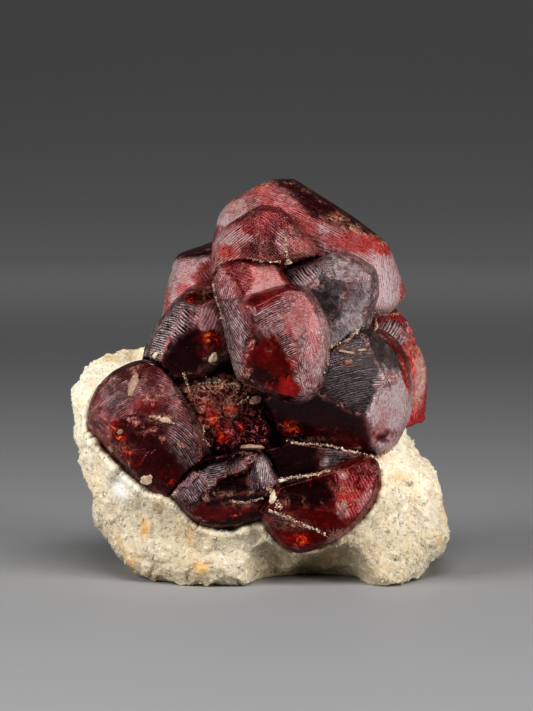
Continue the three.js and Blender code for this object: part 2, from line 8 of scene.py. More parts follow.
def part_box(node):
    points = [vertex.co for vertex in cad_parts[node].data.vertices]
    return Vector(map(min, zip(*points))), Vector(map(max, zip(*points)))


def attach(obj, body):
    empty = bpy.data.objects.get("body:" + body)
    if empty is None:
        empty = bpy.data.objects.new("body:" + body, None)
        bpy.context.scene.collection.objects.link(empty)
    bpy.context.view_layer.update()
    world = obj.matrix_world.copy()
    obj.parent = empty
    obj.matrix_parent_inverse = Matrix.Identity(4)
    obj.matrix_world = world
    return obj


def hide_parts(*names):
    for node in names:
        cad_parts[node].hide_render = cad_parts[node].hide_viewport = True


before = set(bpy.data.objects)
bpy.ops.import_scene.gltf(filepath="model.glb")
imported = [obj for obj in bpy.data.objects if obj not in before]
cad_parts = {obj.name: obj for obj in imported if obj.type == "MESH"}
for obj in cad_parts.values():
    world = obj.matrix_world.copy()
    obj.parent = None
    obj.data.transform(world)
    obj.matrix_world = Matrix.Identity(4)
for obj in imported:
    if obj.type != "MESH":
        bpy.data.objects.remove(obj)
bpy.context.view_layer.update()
rng = np.random.RandomState(7)

# ---------------------------------------------------------------- view of the specimen (mm)
S = 0.196                      # mm for one step of the drawn layout, at the middle of the piece
DIST = 700.0                   # camera distance
ELEV = math.radians(6.0)
TARGET = np.array([1.1, 0.0, 43.0])
RIGHT = np.array([1.0, 0.0, 0.0])
UPC = np.array([0.0, math.sin(ELEV), math.cos(ELEV)])
TOW = np.array([0.0, -math.cos(ELEV), math.sin(ELEV)])

# corner points of every crystal (mm), as in the solids
CORNERS = {
    "centre": [
        (-6.76, -16.78, 55.53), (5.53, -19.99, 57.98), (-1.76, -21.55, 54.17), (8.08, -19.9, 57.33),
        (9.89, -20.13, 55.2), (10.1, -20.2, 54.74), (8.09, -22.41, 37.43), (6.87, -22.26, 37.06), (3.03, -21.88, 37.9),
        (-0.48, -21.58, 39.53), (-2.89, -21.37, 40.72), (-1.43, -22.03, 51.5), (11.69, -19.65, 51.21),
        (12.23, -19.67, 47.06), (11.68, -20.33, 41.62), (10.66, -21.02, 38.97), (9.09, -21.9, 37.66),
        (6.78, -22.59, 44.25), (-7.4, -16.19, 55.36), (-3.89, -20.41, 41.12), (-5.51, -18.5, 47.18),
        (-8.61, -12.25, 55.79), (5.59, -15.95, 58.61), (8.64, -16.9, 57.92), (10.74, -17.04, 55.44),
        (12.67, -16.39, 51.16), (13.25, -16.41, 46.74), (12.67, -17.09, 41.05), (11.52, -17.88, 38.06),
        (9.6, -18.94, 36.45), (6.92, -19.44, 35.74), (2.72, -19.03, 36.65), (-0.9, -18.71, 38.34),
        (-4.74, -16.91, 40.06), (-6.47, -14.86, 46.59), (-1.37, -4.16, 55.92), (9.54, -5.52, 55.29),
        (12.71, -5.66, 47.81), (11.87, -6.67, 38.64), (8.14, -7.82, 35.21), (0.96, -7.41, 36.56),
        (-5.38, -5.73, 42.38), (6.01, 3.67, 38.02), (-1.89, 3.41, 40.63), (-3.78, 4.4, 47.99), (3.41, 4.95, 51.88),
        (8.96, 5.01, 45.98),],
    "centre_top": [
        (-0.5, -14.99, 61.7), (2.56, -14.75, 61.43), (4.64, -15.78, 58.31), (4.63, -16.66, 56.14),
        (-7.71, -14.43, 60.97), (-3.89, -14.4, 61.92), (-3.51, -17.06, 57.42), (-8.16, -15.06, 57.68),
        (-2.54, -18.22, 54.27), (-7.26, -16, 55.37), (-9.19, -11.9, 57.3), (-8.61, -11.1, 61.48), (-4, -11.05, 62.63),
        (3.12, -11.54, 62.09), (5.61, -12.77, 58.34), (5.61, -14.05, 55.18), (-2.63, -15.64, 53.01),
        (-8.02, -13.1, 54.32), (-8.72, -3.91, 58.69), (-0.51, -3.82, 61.58), (5.37, -4.92, 56.06),
        (-5.26, -5.53, 53.03), (-2.79, 3.56, 59.41), (1.42, 4.13, 58.64), (1, 3.33, 54.25), (-2.84, 3.64, 53.41),
        (-6.35, 3.76, 56.4),],
    "right": [
        (19.47, -13.96, 48.93), (22.86, -11.34, 48.57), (25.2, -10.36, 46.98), (26.79, -10.55, 44.51),
        (28.24, -11.23, 41.46), (28.43, -11.76, 40.35), (8.12, -17.15, 40.31), (14.05, -15.45, 44.93),
        (23.65, -15.94, 40.09), (20.12, -18.29, 32.27), (28.79, -11.26, 38.41), (28.45, -11.06, 33.4),
        (27.15, -11.9, 30.18), (25.73, -12.88, 27.49), (22.92, -15.23, 26.18), (1.34, -13.72, 33.48),
        (2.13, -14.48, 34.9), (6.98, -17.49, 39.39), (21.53, -16.49, 26.56), (6.15, -13.12, 28.54),
        (2.88, -12.97, 30.43), (0.23, -10.64, 33.14), (1.39, -11.74, 35.21), (7.54, -14.23, 40.73),
        (13.51, -12.52, 45.38), (19.32, -10.74, 49.65), (23.27, -7.74, 49.17), (26.03, -6.58, 47.3),
        (27.78, -6.8, 44.59), (29.32, -7.52, 41.35), (29.91, -7.58, 38.04), (29.56, -7.38, 32.74),
        (28.18, -8.26, 29.33), (26.6, -9.36, 26.34), (23.22, -12.17, 24.76), (5.85, -9.88, 27.19),
        (2.17, -9.71, 29.32), (1.38, -1.39, 33.12), (10.86, -1.91, 41.6), (21.32, 0.32, 47.98), (26.73, 1.3, 44.76),
        (29.36, 0.35, 38.7), (28.62, -0.02, 30.3), (24.82, -1.67, 24.82), (4.49, -1.08, 27.49), (23.44, 7.64, 30.42),
        (14.03, 7.74, 28.28), (7.41, 7.9, 34.08), (13.51, 8.75, 39.06), (22.28, 9.46, 41.13),],
    "lower_right": [
        (1.69, -21.78, 16.97), (3.69, -21.87, 19.85), (12.81, -22.07, 22.72), (18.73, -19.66, 24.22),
        (21.11, -18.76, 24.1), (22.42, -18.35, 22.86), (22.27, -18.64, 20.17), (21.74, -19.01, 18.14),
        (20.32, -19.74, 15.94), (18.11, -20.77, 13.7), (0.52, -21.27, 15.22), (14.79, -21.93, 15.23),
        (16.82, -21.35, 12.68), (15.55, -20.99, 11.51), (13.03, -20.48, 9.96), (9.19, -19.9, 8.39),
        (6.86, -19.69, 8.02), (4.77, -19.81, 8.85), (2.7, -20.23, 10.83), (0.93, -20.93, 13.81), (-0.53, -18.5, 14.98),
        (3.11, -19.11, 20.29), (18.65, -16.87, 24.81), (21.56, -15.76, 24.66), (23.51, -15.17, 22.83),
        (23.32, -15.51, 19.58), (22.74, -15.92, 17.31), (21.18, -16.72, 14.9), (18.85, -17.8, 12.55),
        (16.17, -18.04, 10.25), (13.49, -17.49, 8.61), (9.47, -16.88, 6.96), (6.78, -16.65, 6.54),
        (4.27, -16.79, 7.53), (1.96, -17.26, 9.74), (0.04, -18, 12.96), (1.71, -7.06, 15.86), (20.06, -5.43, 22.9),
        (23.26, -5.18, 19.56), (21.85, -5.9, 14.55), (17.53, -7.11, 9.91), (11.64, -6.75, 6.45), (5.83, -6.58, 5.76),
        (1.43, -6.76, 9.86), (5.67, 3.44, 9.37), (8.46, 3.99, 15.83), (14.17, 4.44, 17.54), (17.5, 3.36, 11.93),
        (12.62, 3.63, 8.07),],
    "lower_middle": [
        (-9.89, -17.58, 24.97), (-3.85, -17.77, 26.1), (-0.26, -18.12, 26.46), (-3.5, -20.36, 22.78),
        (1.34, -18.09, 24.66), (2.51, -18.37, 22.33), (2.17, -19.19, 19.95), (-13.57, -19.82, 14.84),
        (-16.75, -17.46, 17.65), (-15.49, -17.81, 19.51), (-12.87, -18.68, 22.62), (-10.15, -20.54, 21.02),
        (-13.29, -19.67, 14.53), (-10.75, -20.85, 17.77), (-1.42, -20.69, 19.22), (1.48, -19.98, 18.15),
        (0.92, -19.32, 16.52), (-1.32, -18.08, 13.21), (-4.17, -17.87, 12.16), (-9.22, -18.25, 12.04),
        (-11.2, -18.74, 12.78), (-13.99, -16.62, 13.34), (-18.09, -14.01, 17.03), (-16.33, -14.49, 19.63),
        (-13.61, -15.4, 22.87), (-10.36, -14.11, 25.41), (-4, -14.31, 26.6), (0.43, -14.74, 27.04),
        (2.16, -14.89, 24.74), (3.5, -15.21, 22.06), (3.12, -16.17, 19.29), (1.77, -16.26, 15.61),
        (-0.73, -14.88, 11.9), (-4.01, -14.64, 10.7), (-9.41, -15.04, 10.56), (-11.71, -15.61, 11.43),
        (-15.93, -5.58, 13.89), (-14.89, -4.98, 19.76), (-7.3, -4.39, 24.41), (0.95, -4.69, 24.26),
        (2.92, -5.35, 19.15), (0.2, -5.68, 12.48), (-6.84, -5.51, 9.52), (-12.83, -6, 11.11), (-2.54, 4.04, 13.15),
        (-8.63, 3.33, 11.12), (-13.88, 3.79, 15.53), (-9.31, 5.48, 20.06), (-2.38, 5.45, 20.49),],
    "left": [
        (-32.45, -11.54, 35.41), (-30.87, -10.6, 38.37), (-28.57, -10.46, 40.48), (-25.29, -10.97, 42.25),
        (-26.58, -15.99, 32.39), (-29.56, -14.92, 31.84), (-24.76, -10.86, 42.52), (-21.88, -11.04, 42.88),
        (-20.17, -11.7, 42.33), (-17.26, -14.15, 39.56), (-14.93, -17.05, 36.02), (-13.44, -17.99, 33.61),
        (-11.03, -20.09, 27.59), (-11.1, -20.5, 26.09), (-22.45, -15.59, 36.44), (-11.2, -20.25, 24.24),
        (-13.06, -19.3, 21.42), (-16.27, -17.97, 19.27), (-18.35, -17.18, 18.46), (-20.25, -16.52, 18.37),
        (-22.27, -15.97, 19.47), (-24.1, -15.53, 21.02), (-27.05, -13.55, 23.31), (-31.29, -11.14, 27.56),
        (-33.24, -10.49, 30.48), (-33.17, -11.61, 32.74), (-32.9, -12.32, 33.68), (-33.52, -8.17, 35.38),
        (-31.81, -7.14, 38.58), (-29.28, -6.99, 40.9), (-25.18, -7.4, 43.1), (-21.87, -7.61, 43.51),
        (-19.72, -8.43, 42.82), (-16.56, -11.08, 39.8), (-12.63, -15.24, 33.69), (-10.11, -17.44, 27.4),
        (-10.3, -17.76, 23.58), (-12.44, -16.68, 20.33), (-15.94, -15.23, 17.99), (-18.27, -14.34, 17.08),
        (-20.61, -13.54, 16.96), (-22.94, -12.9, 18.24), (-27.89, -9.62, 22.07), (-32.26, -7.16, 26.45),
        (-34.41, -6.44, 29.69), (-34.33, -7.78, 32.4), (-32.58, -0.75, 35.89), (-27.31, -0.32, 40.77),
        (-21.09, -0.58, 41.84), (-15.12, -3.45, 35.36), (-10.88, -6.07, 24.17), (-14.74, -5.51, 18.15),
        (-19.83, -4.7, 16.23), (-25.59, -3.32, 19.45), (-33.19, -0.84, 27.37), (-33.79, -1.43, 32.94),
        (-16.93, 5.89, 29.91), (-17.83, 5.51, 20.99), (-26.37, 5.76, 23.4), (-29.86, 5.5, 30.7), (-22.57, 6.49, 36.44),],
    "left_upper": [
        (-11.59, -9.95, 56.93), (-9.88, -10.33, 56.83), (-14.89, -13.8, 53.93), (-13.9, -10.72, 56.16),
        (-19.39, -12.75, 43.5), (-21.25, -10.38, 44.53), (-21.38, -9.89, 45.51), (-18.61, -10.91, 50.89),
        (-15.97, -12.48, 54.38), (-15.7, -12.67, 54.64), (-14.37, -13.6, 40.49), (-17.53, -13.06, 42.19),
        (-10.1, -14.49, 45.55), (-9.12, -12.76, 55.22), (-8.94, -12.74, 54.77), (-7.44, -12.9, 48.14),
        (-7.1, -13.05, 45.76), (-12.04, -14.32, 53.85), (-6.94, -12.64, 44.53), (-8.86, -13.01, 42.31),
        (-11.42, -13.9, 40.86), (-11.79, -14.08, 40.83), (-11.8, -5.88, 57.56), (-9.27, -6.44, 57.41),
        (-8.07, -9.48, 54.77), (-6.53, -9.65, 48), (-5.96, -9.25, 43.87), (-8.28, -9.69, 41.2), (-11.16, -10.7, 39.56),
        (-14.64, -10.76, 39.18), (-18.13, -10.17, 41.06), (-22.29, -6.81, 43.62), (-22.5, -5.98, 45.29),
        (-19.54, -7.06, 51.05), (-16.77, -8.7, 54.7), (-14.49, -6.78, 56.67), (-10.8, 1.12, 56.49),
        (-7.69, -0.76, 50.43), (-7.5, -1.2, 41.89), (-13.13, -2.1, 38.78), (-20.18, -1.22, 41.8),
        (-20.97, 0.45, 47.49), (-15.77, 0.18, 54.69), (-14.36, 6.76, 41.13), (-19.57, 7.07, 45.02),
        (-16.85, 8.41, 49.69), (-11.22, 8.79, 51.58), (-9.69, 7.37, 45.38),],
    "core": [
        (-4.39, -11.6, 39.29), (-1.89, -13.37, 37.34), (-15.89, -12.46, 38.15), (-16.01, -11.96, 38.73),
        (-10.71, -11.24, 39.62), (-11.94, -15.15, 27.31), (-12.83, -14.62, 27.86), (-15.01, -13.17, 33.12),
        (-11.72, -14.93, 35.43), (-6.4, -15.22, 25.78), (-10.19, -15.19, 26.11), (0.38, -12.53, 35.29),
        (-0.12, -12.78, 30.63), (-2.7, -13.8, 26.95), (-6.03, -14.96, 35.48), (-4.04, -8.06, 39.85),
        (1.39, -9.36, 35.32), (0.81, -9.65, 29.89), (-2.09, -10.8, 25.75), (-6.33, -12.42, 24.4),
        (-10.58, -12.44, 24.8), (-13.69, -11.42, 26.81), (-16.03, -9.87, 32.46), (-17.21, -8.53, 39.12),
        (-10.83, -7.66, 40.2), (-1.62, -0.66, 36.44), (-0.96, -1.32, 26.85), (-8.57, -2.51, 23.6),
        (-14.79, -1.41, 28.57), (-13.96, 0.3, 38.42), (-7.9, 8.8, 34.91), (-2.45, 7.63, 31.68), (-5.3, 7.67, 25.76),
        (-11.19, 7.41, 26.31), (-13.46, 7.77, 32.14),],
    "upper_right": [
        (6.54, -12.01, 57.25), (5.93, -9.88, 60.79), (7.86, -10.18, 61.65), (11.17, -10.98, 62.56),
        (15.01, -10.43, 63.51), (18.41, -11.27, 62.37), (12.25, -12.89, 59.78), (12.96, -14.54, 47.79),
        (10.6, -13.89, 49.98), (6.86, -12.43, 56.7), (21.16, -12.81, 60.2), (21.55, -12.42, 56.66),
        (20.5, -12.47, 52.75), (18.73, -12.86, 50.31), (15.87, -13.59, 47.69), (13.72, -14.24, 47.04),
        (17.47, -13.88, 58.49), (5.64, -9.05, 56.67), (4.88, -6.39, 61.1), (7.58, -6.8, 62.3), (15.12, -6.99, 64.25),
        (18.97, -7.94, 62.97), (22.21, -9.74, 60.4), (22.62, -9.3, 56.3), (21.48, -9.36, 52.04), (19.54, -9.79, 49.37),
        (16.44, -10.58, 46.54), (13.53, -11.45, 45.66), (9.87, -11.06, 49.1), (5.66, 1.06, 57.99), (11.58, 1.39, 62.3),
        (20.59, 0.7, 60.65), (22, 0.07, 53.36), (18.05, -0.65, 47.29), (11.94, -1.31, 46.7), (19.56, 9.56, 54.18),
        (16.48, 9.37, 48.69), (11.25, 8.45, 50.48), (8.83, 9.11, 55.93), (14.94, 9.24, 59.13),],
    "crown": [
        (24.61, -4.03, 64.83), (6.31, 2.18, 77.09), (17.05, -0.69, 70.33), (3.57, -5.72, 71.84), (6.7, -4.38, 73.18),
        (23.46, -5.6, 64.48), (21.66, -8.76, 59.17), (24.7, -4.37, 64.59), (28.58, -3.19, 54.88), (27.6, -4.44, 53.74),
        (26, -6.32, 52.54), (-9.29, -3.92, 65.91), (-8.2, -1.42, 70.2), (-5.63, -0.9, 73.3), (-1.45, -1.96, 75.83),
        (-0.37, -5.24, 72.55), (-0.99, -2.13, 76.05), (1.91, -0.91, 77.27), (2.29, -0.89, 77.26),
        (22.68, -9.45, 52.86), (7.67, -7.89, 52.88), (-5.59, -6.15, 56.91), (-9.09, -5.24, 62.74),
        (-9.19, -5.07, 64.51), (25.2, -0.88, 64.97), (29.36, -0.37, 54.54), (28.13, -1.93, 53.11),
        (26.3, -4.07, 51.74), (7.6, -5.75, 52.1), (-6, -3.96, 56.23), (-9.7, -3.01, 62.39), (-9.92, -1.28, 65.78),
        (-8.78, 1.35, 70.29), (-6.04, 1.9, 73.59), (-1.73, 0.81, 76.19), (1.78, 1.85, 77.7), (6.5, 5.46, 77.5),
        (17.46, 2.54, 70.61), (26.38, 8.88, 59.34), (26.36, 7.59, 52.34), (1.43, 6.84, 53.88), (-8.59, 8.36, 63.34),
        (-6.31, 10.69, 70.84), (0.7, 10.69, 75.54), (11.95, 11.88, 72.88), (14.67, 19.23, 67), (21.09, 17.2, 55.99),
        (7.81, 17.09, 55.6), (-2.1, 18.11, 62.69), (6.84, 19, 71.34),],
    "crown_front": [
        (-7.67, -12.93, 62.24), (-8.56, -11.91, 63.65), (-8.27, -11.33, 65.37), (-6.38, -11.13, 68.1),
        (-1.59, -12.16, 71.31), (-0.17, -12.55, 72.04), (-2.13, -15.45, 62.78), (5.13, -13.3, 70.55),
        (5.74, -13.6, 69.82), (4.22, -16.13, 63.47), (-0.3, -16.25, 63.03), (9.08, -12.19, 65.59),
        (9.49, -12.02, 65.04), (5.35, -15.32, 63.52), (0.39, -12.1, 72.29), (3.31, -12.7, 71.84),
        (-8.24, -10.29, 61.03), (-9.61, -8.71, 63.22), (-9.23, -7.95, 65.49), (-7.11, -7.72, 68.57),
        (-2.08, -8.79, 71.92), (0.23, -7.77, 73.02), (3.7, -8.49, 72.48), (5.81, -10.24, 71.05), (9.88, -8.73, 65.93),
        (11.04, -8.26, 64.35), (5.61, -12.57, 62.37), (-2.06, -13.08, 61.64), (-8.64, -2.26, 61.75),
        (-7.9, -1.24, 66.55), (-0.88, -1.35, 71.81), (4.64, -1.79, 71.09), (10.16, -1.64, 64.71), (1.74, -4.21, 61.53),
        (-0.41, 5.85, 69.27), (3.89, 6.02, 68.3), (4.48, 5.01, 63.32), (-0.37, 5.68, 62.53), (-4.8, 5.22, 65.94),],
    "left_back": [
        (-15.5, -0.71, 62.01), (-9.62, 0.04, 64.1), (-6.95, -1.93, 63.97), (-6.93, -2.38, 63.76),
        (-12.25, -4.09, 61.39), (-15.86, -1.79, 61.4), (-13.3, -6.71, 51.9), (-17.93, -3.56, 52.48),
        (-17.14, -2.47, 57.07), (-16.22, -1.78, 60.76), (-6.6, -4.1, 56.64), (-12.1, -6.52, 51.66),
        (-16.29, 3.93, 62.45), (-9.82, 4.77, 64.75), (-6.05, 1.99, 64.56), (-5.64, -1.21, 55.99),
        (-11.85, -3.93, 50.36), (-19.15, -0.33, 51.4), (-18.19, 0.99, 56.98), (-17.22, 1.71, 60.85),
        (-13.14, 9.55, 62.95), (-6.18, 7.33, 59.6), (-15.55, 5.61, 50.43), (-17.67, 7.94, 58.31),
        (-15.06, 15.26, 59.39), (-9.61, 15.75, 60.7), (-8.73, 15.17, 55.09), (-12.56, 13.9, 51.79),
        (-16.4, 15.2, 54.96),],
    "right_back": [
        (23.23, -8.38, 42.52), (22.22, -5.42, 46.6), (23.23, -2.38, 50.02), (26.98, -1.32, 49.92),
        (25.86, -7.78, 32.12), (28.85, -3.7, 46.24), (30.34, -2.98, 43.24), (31.67, -2.55, 38.94),
        (31.31, -3.29, 35.37), (28.2, -6.09, 31.66), (25.15, -5.7, 30.97), (21.29, -2.92, 46.35), (22.57, 0.93, 50.69),
        (27.72, 2.37, 50.55), (31.4, 0.55, 43.24), (32.82, 1, 38.65), (32.41, 0.17, 34.59), (28.76, -3.11, 30.25),
        (23.62, 3.37, 37.88), (25.42, 7.56, 49.64), (32.17, 6.64, 40.28), (30.72, 5.15, 31.95), (29, 12.61, 43.13),
        (30.76, 12.54, 38.89), (29.21, 11.98, 33.43), (25.32, 12.11, 37.48), (24.36, 13.87, 41.31),],
    "lower_bar": [
        (3.04, -16.43, 23.43), (2.19, -16.45, 26.56), (7.63, -16.92, 27.91), (11.45, -17.22, 27.95),
        (7.37, -16.73, 21.68), (4.53, -16.49, 21.33), (13.11, -16.77, 27.89), (16.72, -15.79, 26.5),
        (18.05, -15.42, 25.59), (15.71, -16.03, 24.18), (13.15, -16.7, 22.99), (11.69, -17.1, 22.72),
        (2.16, -13.57, 22.62), (1, -13.6, 26.89), (7.55, -14.16, 28.52), (13.33, -13.96, 28.5), (17.21, -12.91, 27),
        (19.93, -12.16, 25.15), (16.25, -13.12, 22.94), (13.53, -13.83, 21.68), (7.56, -13.94, 20.33),
        (4.09, -13.65, 19.9), (1.95, -5.78, 23.69), (10.55, -5.94, 27.29), (18.43, -5.23, 25.03),
        (14.86, -5.86, 21.34), (6.06, -6.13, 19.2), (13.78, 2.39, 24.17), (12.61, 1.18, 20.67), (9.91, 2.5, 19.85),
        (5.28, 2.02, 22.22), (9.89, 1.89, 24.71),],
}
# named broad faces: name, normal x, y, z, distance
FACETS = {
    "centre": [
        ("E1", -0.2973, -0.5367, 0.7897, 54.8670),
        ("E2", 0.1020, -0.9765, 0.1900, 31.1530),
        ("E3", -0.1077, -0.9931, -0.0460, 19.6630),
        ("E4", 0.4449, -0.8934, 0.0626, 25.9660),
        ("E5", -0.6821, -0.7297, 0.0479, 19.5170)],
    "centre_top": [
        ("F1", 0.1039, -0.9219, 0.3733, 36.7940),
        ("F2", -0.1163, -0.8594, 0.4979, 43.6550),
        ("F3", -0.3739, -0.9013, 0.2189, 29.2530)],
    "right": [
        ("R1", 0.5808, -0.6915, 0.4296, 41.9800),
        ("R2", 0.0789, -0.9641, 0.2536, 27.4020),
        ("R3", 0.6589, -0.7487, -0.0732, 24.5860),
        ("R4", -0.2428, -0.9062, -0.3461, 0.5210)],
    "lower_right": [
        ("K1", -0.0140, -0.9997, -0.0224, 21.3700),
        ("K2", 0.3581, -0.9305, 0.0771, 26.8700),
        ("K3", -0.0440, -0.9670, -0.2509, 16.7300)],
    "lower_middle": [
        ("J1", -0.1373, -0.7875, 0.6008, 30.2040),
        ("J2", 0.0029, -0.9957, 0.0922, 22.3670),
        ("J3", 0.3215, -0.9076, 0.2700, 23.5070),
        ("J4", -0.4870, -0.8568, 0.1696, 26.1100),
        ("J5", 0.0776, -0.9155, -0.3949, 11.2360)],
    "left": [
        ("I1", -0.3737, -0.8062, 0.4587, 37.6790),
        ("I2", -0.1233, -0.8051, 0.5802, 36.4670),
        ("I3", -0.1690, -0.9495, 0.2643, 28.2340),
        ("I4", -0.3182, -0.9419, -0.1077, 20.0290),
        ("I5", -0.6835, -0.6619, -0.3078, 20.2770)],
    "left_upper": [
        ("D1", -0.0806, -0.5674, 0.8195, 53.2300),
        ("D2", -0.7102, -0.6618, 0.2400, 32.6530),
        ("D3", -0.1797, -0.9835, -0.0214, 15.0920),
        ("D4", 0.4248, -0.8976, 0.1180, 14.0940),
        ("D5", 0.4359, -0.8692, -0.2334, -2.4360)],
    "core": [
        ("H1", -0.0100, -0.7481, 0.6635, 34.7980),
        ("H2", -0.4910, -0.8704, 0.0365, 20.0450),
        ("H3", -0.0058, -0.9996, 0.0266, 15.9390),
        ("H4", 0.3552, -0.9347, 0.0111, 12.2400)],
    "upper_right": [
        ("G1", -0.3248, -0.8342, 0.4456, 33.4050),
        ("G2", -0.0192, -0.8280, 0.5605, 43.9370),
        ("G3", -0.1550, -0.9799, 0.1260, 18.2600),
        ("G4", 0.3073, -0.9490, -0.0704, 14.4170)],
    "crown": [
        ("A1", 0.3835, -0.4558, 0.8032, 63.3450),
        ("A2", 0.1749, -0.8710, 0.4592, 38.5900),
        ("A3", 0.6841, -0.7049, 0.1874, 32.0860),
        ("A4", -0.4953, -0.6898, 0.5281, 42.1170),
        ("A5", 0.0314, -0.7431, 0.6685, 52.3840),
        ("A6", -0.1028, -0.9905, 0.0914, 11.8660)],
    "crown_front": [
        ("B1", -0.4149, -0.8398, 0.3501, 35.8380),
        ("B2", -0.0125, -0.9278, 0.3728, 38.5740),
        ("B3", 0.5700, -0.8009, 0.1832, 26.9540),
        ("B4", 0.0279, -0.5070, 0.8615, 68.4220)],
    "left_back": [
        ("C1", -0.2585, -0.4089, 0.8752, 58.5700),
        ("C2", -0.5156, -0.8097, 0.2803, 26.8350),
        ("C3", 0.1995, -0.9500, 0.2400, 16.1770)],
    "right_back": [
        ("S1", 0.2302, -0.7598, 0.6080, 37.5660),
        ("S2", 0.5948, -0.7971, 0.1039, 24.9140)],
    "lower_bar": [
        ("L1", -0.0788, -0.9965, -0.0270, 15.5020),
        ("L2", 0.2596, -0.9657, -0.0110, 19.2920)],
}
# growth lines on the named faces: angle of the lines seen from the front (degrees), pitch mm, height mm,
# frost 0..1 (how matt the face is, and how strong its painted pale sheen), bend mm (0 is straight), depth of colour
# 0..1 (1 is near black; it also carries the painted red glow and painted shade of the face)
LINES = {
    "A1": (-34, 0.90, 0.045, 0.10, 0, 0.78), "A2": (-30, 0.60, 0.034, 0.50, 0, 0.35), "A3": (100, 0.62, 0.034, 1.00, 30, 0.20),
    "A4": (20, 0.60, 0.026, 0.70, 0, 0.28), "A5": (-30, 0.60, 0.034, 0.78, 0, 0.32), "A6": (-20, 0.90, 0.045, 0.50, 0, 0.40),
    "B1": (35, 0.62, 0.075, 0.74, 0, 0.36), "B2": (-42, 0.62, 0.062, 0.28, 0, 0.42), "B3": (-25, 0.80, 0.035, 0.66, 0, 0.40),
    "B4": (0, 0.80, 0.040, 0.10, 0, 0.70),
    "C1": (5, 0.80, 0.040, 0.10, 0, 0.75), "C2": (10, 0.55, 0.022, 0.97, 0, 0.30), "C3": (-55, 0.80, 0.055, 0.20, 0, 0.42),
    "D1": (-30, 0.80, 0.045, 0.06, 0, 0.55), "D2": (-14, 0.60, 0.080, 0.46, 0, 0.74), "D3": (-40, 0.80, 0.005, 0.00, 0, 0.80),
    "D4": (60, 0.90, 0.030, 0.30, 0, 0.35), "D5": (20, 0.80, 0.040, 0.20, 0, 0.65),
    "E1": (20, 0.60, 0.035, 0.10, 0, 0.42), "E2": (8, 0.50, 0.018, 0.66, 22, 0.45), "E3": (-35, 0.60, 0.014, 0.00, 0, 0.58),
    "E4": (-70, 0.52, 0.050, 0.54, 0, 0.50), "E5": (-40, 0.62, 0.085, 0.48, 0, 0.52),
    "F1": (10, 0.50, 0.012, 1.00, 0, 0.20), "F2": (-30, 0.80, 0.050, 0.45, 0, 0.45), "F3": (70, 0.55, 0.050, 0.74, 0, 0.35),
    "G1": (-50, 0.75, 0.055, 0.30, 0, 0.80), "G2": (-8, 0.50, 0.020, 0.46, 0, 0.72), "G3": (-45, 0.50, 0.010, 0.08, 0, 0.97),
    "G4": (-45, 0.45, 0.014, 0.46, 0, 0.78),
    "R1": (-50, 0.60, 0.016, 0.12, 0, 1.00), "R2": (14, 0.55, 0.020, 0.13, 40, 0.97), "R3": (-72, 0.45, 0.016, 1.00, 0, 0.25),
    "R4": (20, 0.60, 0.010, 0.00, 0, 0.74),
    "S1": (60, 0.80, 0.040, 0.25, 0, 0.08), "S2": (70, 0.80, 0.040, 0.20, 0, 0.10),
    "H1": (30, 0.90, 0.050, 0.14, 0, 0.50), "H2": (60, 0.90, 0.050, 0.12, 0, 0.52), "H3": (-30, 0.90, 0.050, 0.06, 0, 0.52),
    "H4": (10, 0.90, 0.050, 0.18, 0, 0.72),
    "I1": (38, 0.55, 0.040, 0.42, 16, 0.66), "I2": (-20, 0.55, 0.040, 0.28, 16, 0.66), "I3": (-10, 0.55, 0.034, 0.15, 14, 0.60),
    "I4": (-35, 0.60, 0.010, 0.00, 14, 0.66), "I5": (-45, 0.60, 0.050, 0.36, 0, 0.50),
    "J1": (8, 0.60, 0.030, 0.05, 0, 0.90), "J2": (0, 0.80, 0.003, 0.00, 0, 0.92), "J3": (80, 0.55, 0.060, 0.70, 0, 0.72),
    "J4": (-48, 0.60, 0.085, 0.50, 0, 0.62), "J5": (10, 0.80, 0.045, 0.06, 0, 0.50),
    "L1": (-4, 0.80, 0.004, 0.00, 0, 0.93), "L2": (0, 0.80, 0.050, 0.26, 0, 0.70),
    "K1": (30, 0.80, 0.006, 0.00, 0, 0.84), "K2": (-60, 0.80, 0.060, 0.20, 0, 0.42), "K3": (-15, 0.80, 0.050, 0.10, 0, 0.50),
}
# faces whose painted sheen is rosy instead of lilac grey
ROSY = {"A2": 1.0, "A4": 0.55, "A5": 0.9, "B1": 0.45, "B3": 0.7, "B2": 0.8, "E2": 0.75, "E1": 0.8, "F1": 0.55, "F2": 0.8, "S1": 1.0, "S2": 1.0,
        "K2": 0.9, "C3": 1.0, "D4": 0.4, "I2": 0.3, "H1": 0.5, "H2": 0.6, "A1": 0.6, "J5": 0.8, "K3": 0.8}
# where the bent growth lines of a face are centred (layout place)
FACE_MID = {"A3": (395, 300), "E2": (300, 330), "R2": (345, 400), "I1": (150, 450), "I2": (150, 450), "I3": (150, 450), "I4": (150, 450)}

NODE_OF = {"centre": "garnet_centre", "centre_top": "garnet_centre", "right": "garnet_right",
           "lower_right": "garnet_lower_right", "lower_middle": "garnet_lower_middle", "left": "garnet_left",
           "left_upper": "garnet_left_upper", "core": "garnet_core", "upper_right": "garnet_upper_right",
           "crown": "garnet_crown", "crown_front": "garnet_crown", "left_back": "garnet_left_back",
           "right_back": "garnet_right_back", "lower_bar": "garnet_lower_bar"}
ORDER = list(NODE_OF)
SEAM = 0.32

allc = np.vstack([np.array(CORNERS[k]) for k in ("centre", "centre_top")])
blo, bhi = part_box("garnet_centre")
SHIFT = np.array([blo[0] * 1000 - allc[:, 0].min(), blo[1] * 1000 - allc[:, 1].min(), 0.0])
TARGET = TARGET + SHIFT
for k in CORNERS:
    CORNERS[k] = np.array(CORNERS[k]) + SHIFT
for k in FACETS:
    FACETS[k] = [(f[0], np.array(f[1:4]), f[4] + float(np.dot(f[1:4], SHIFT))) for f in FACETS[k]]


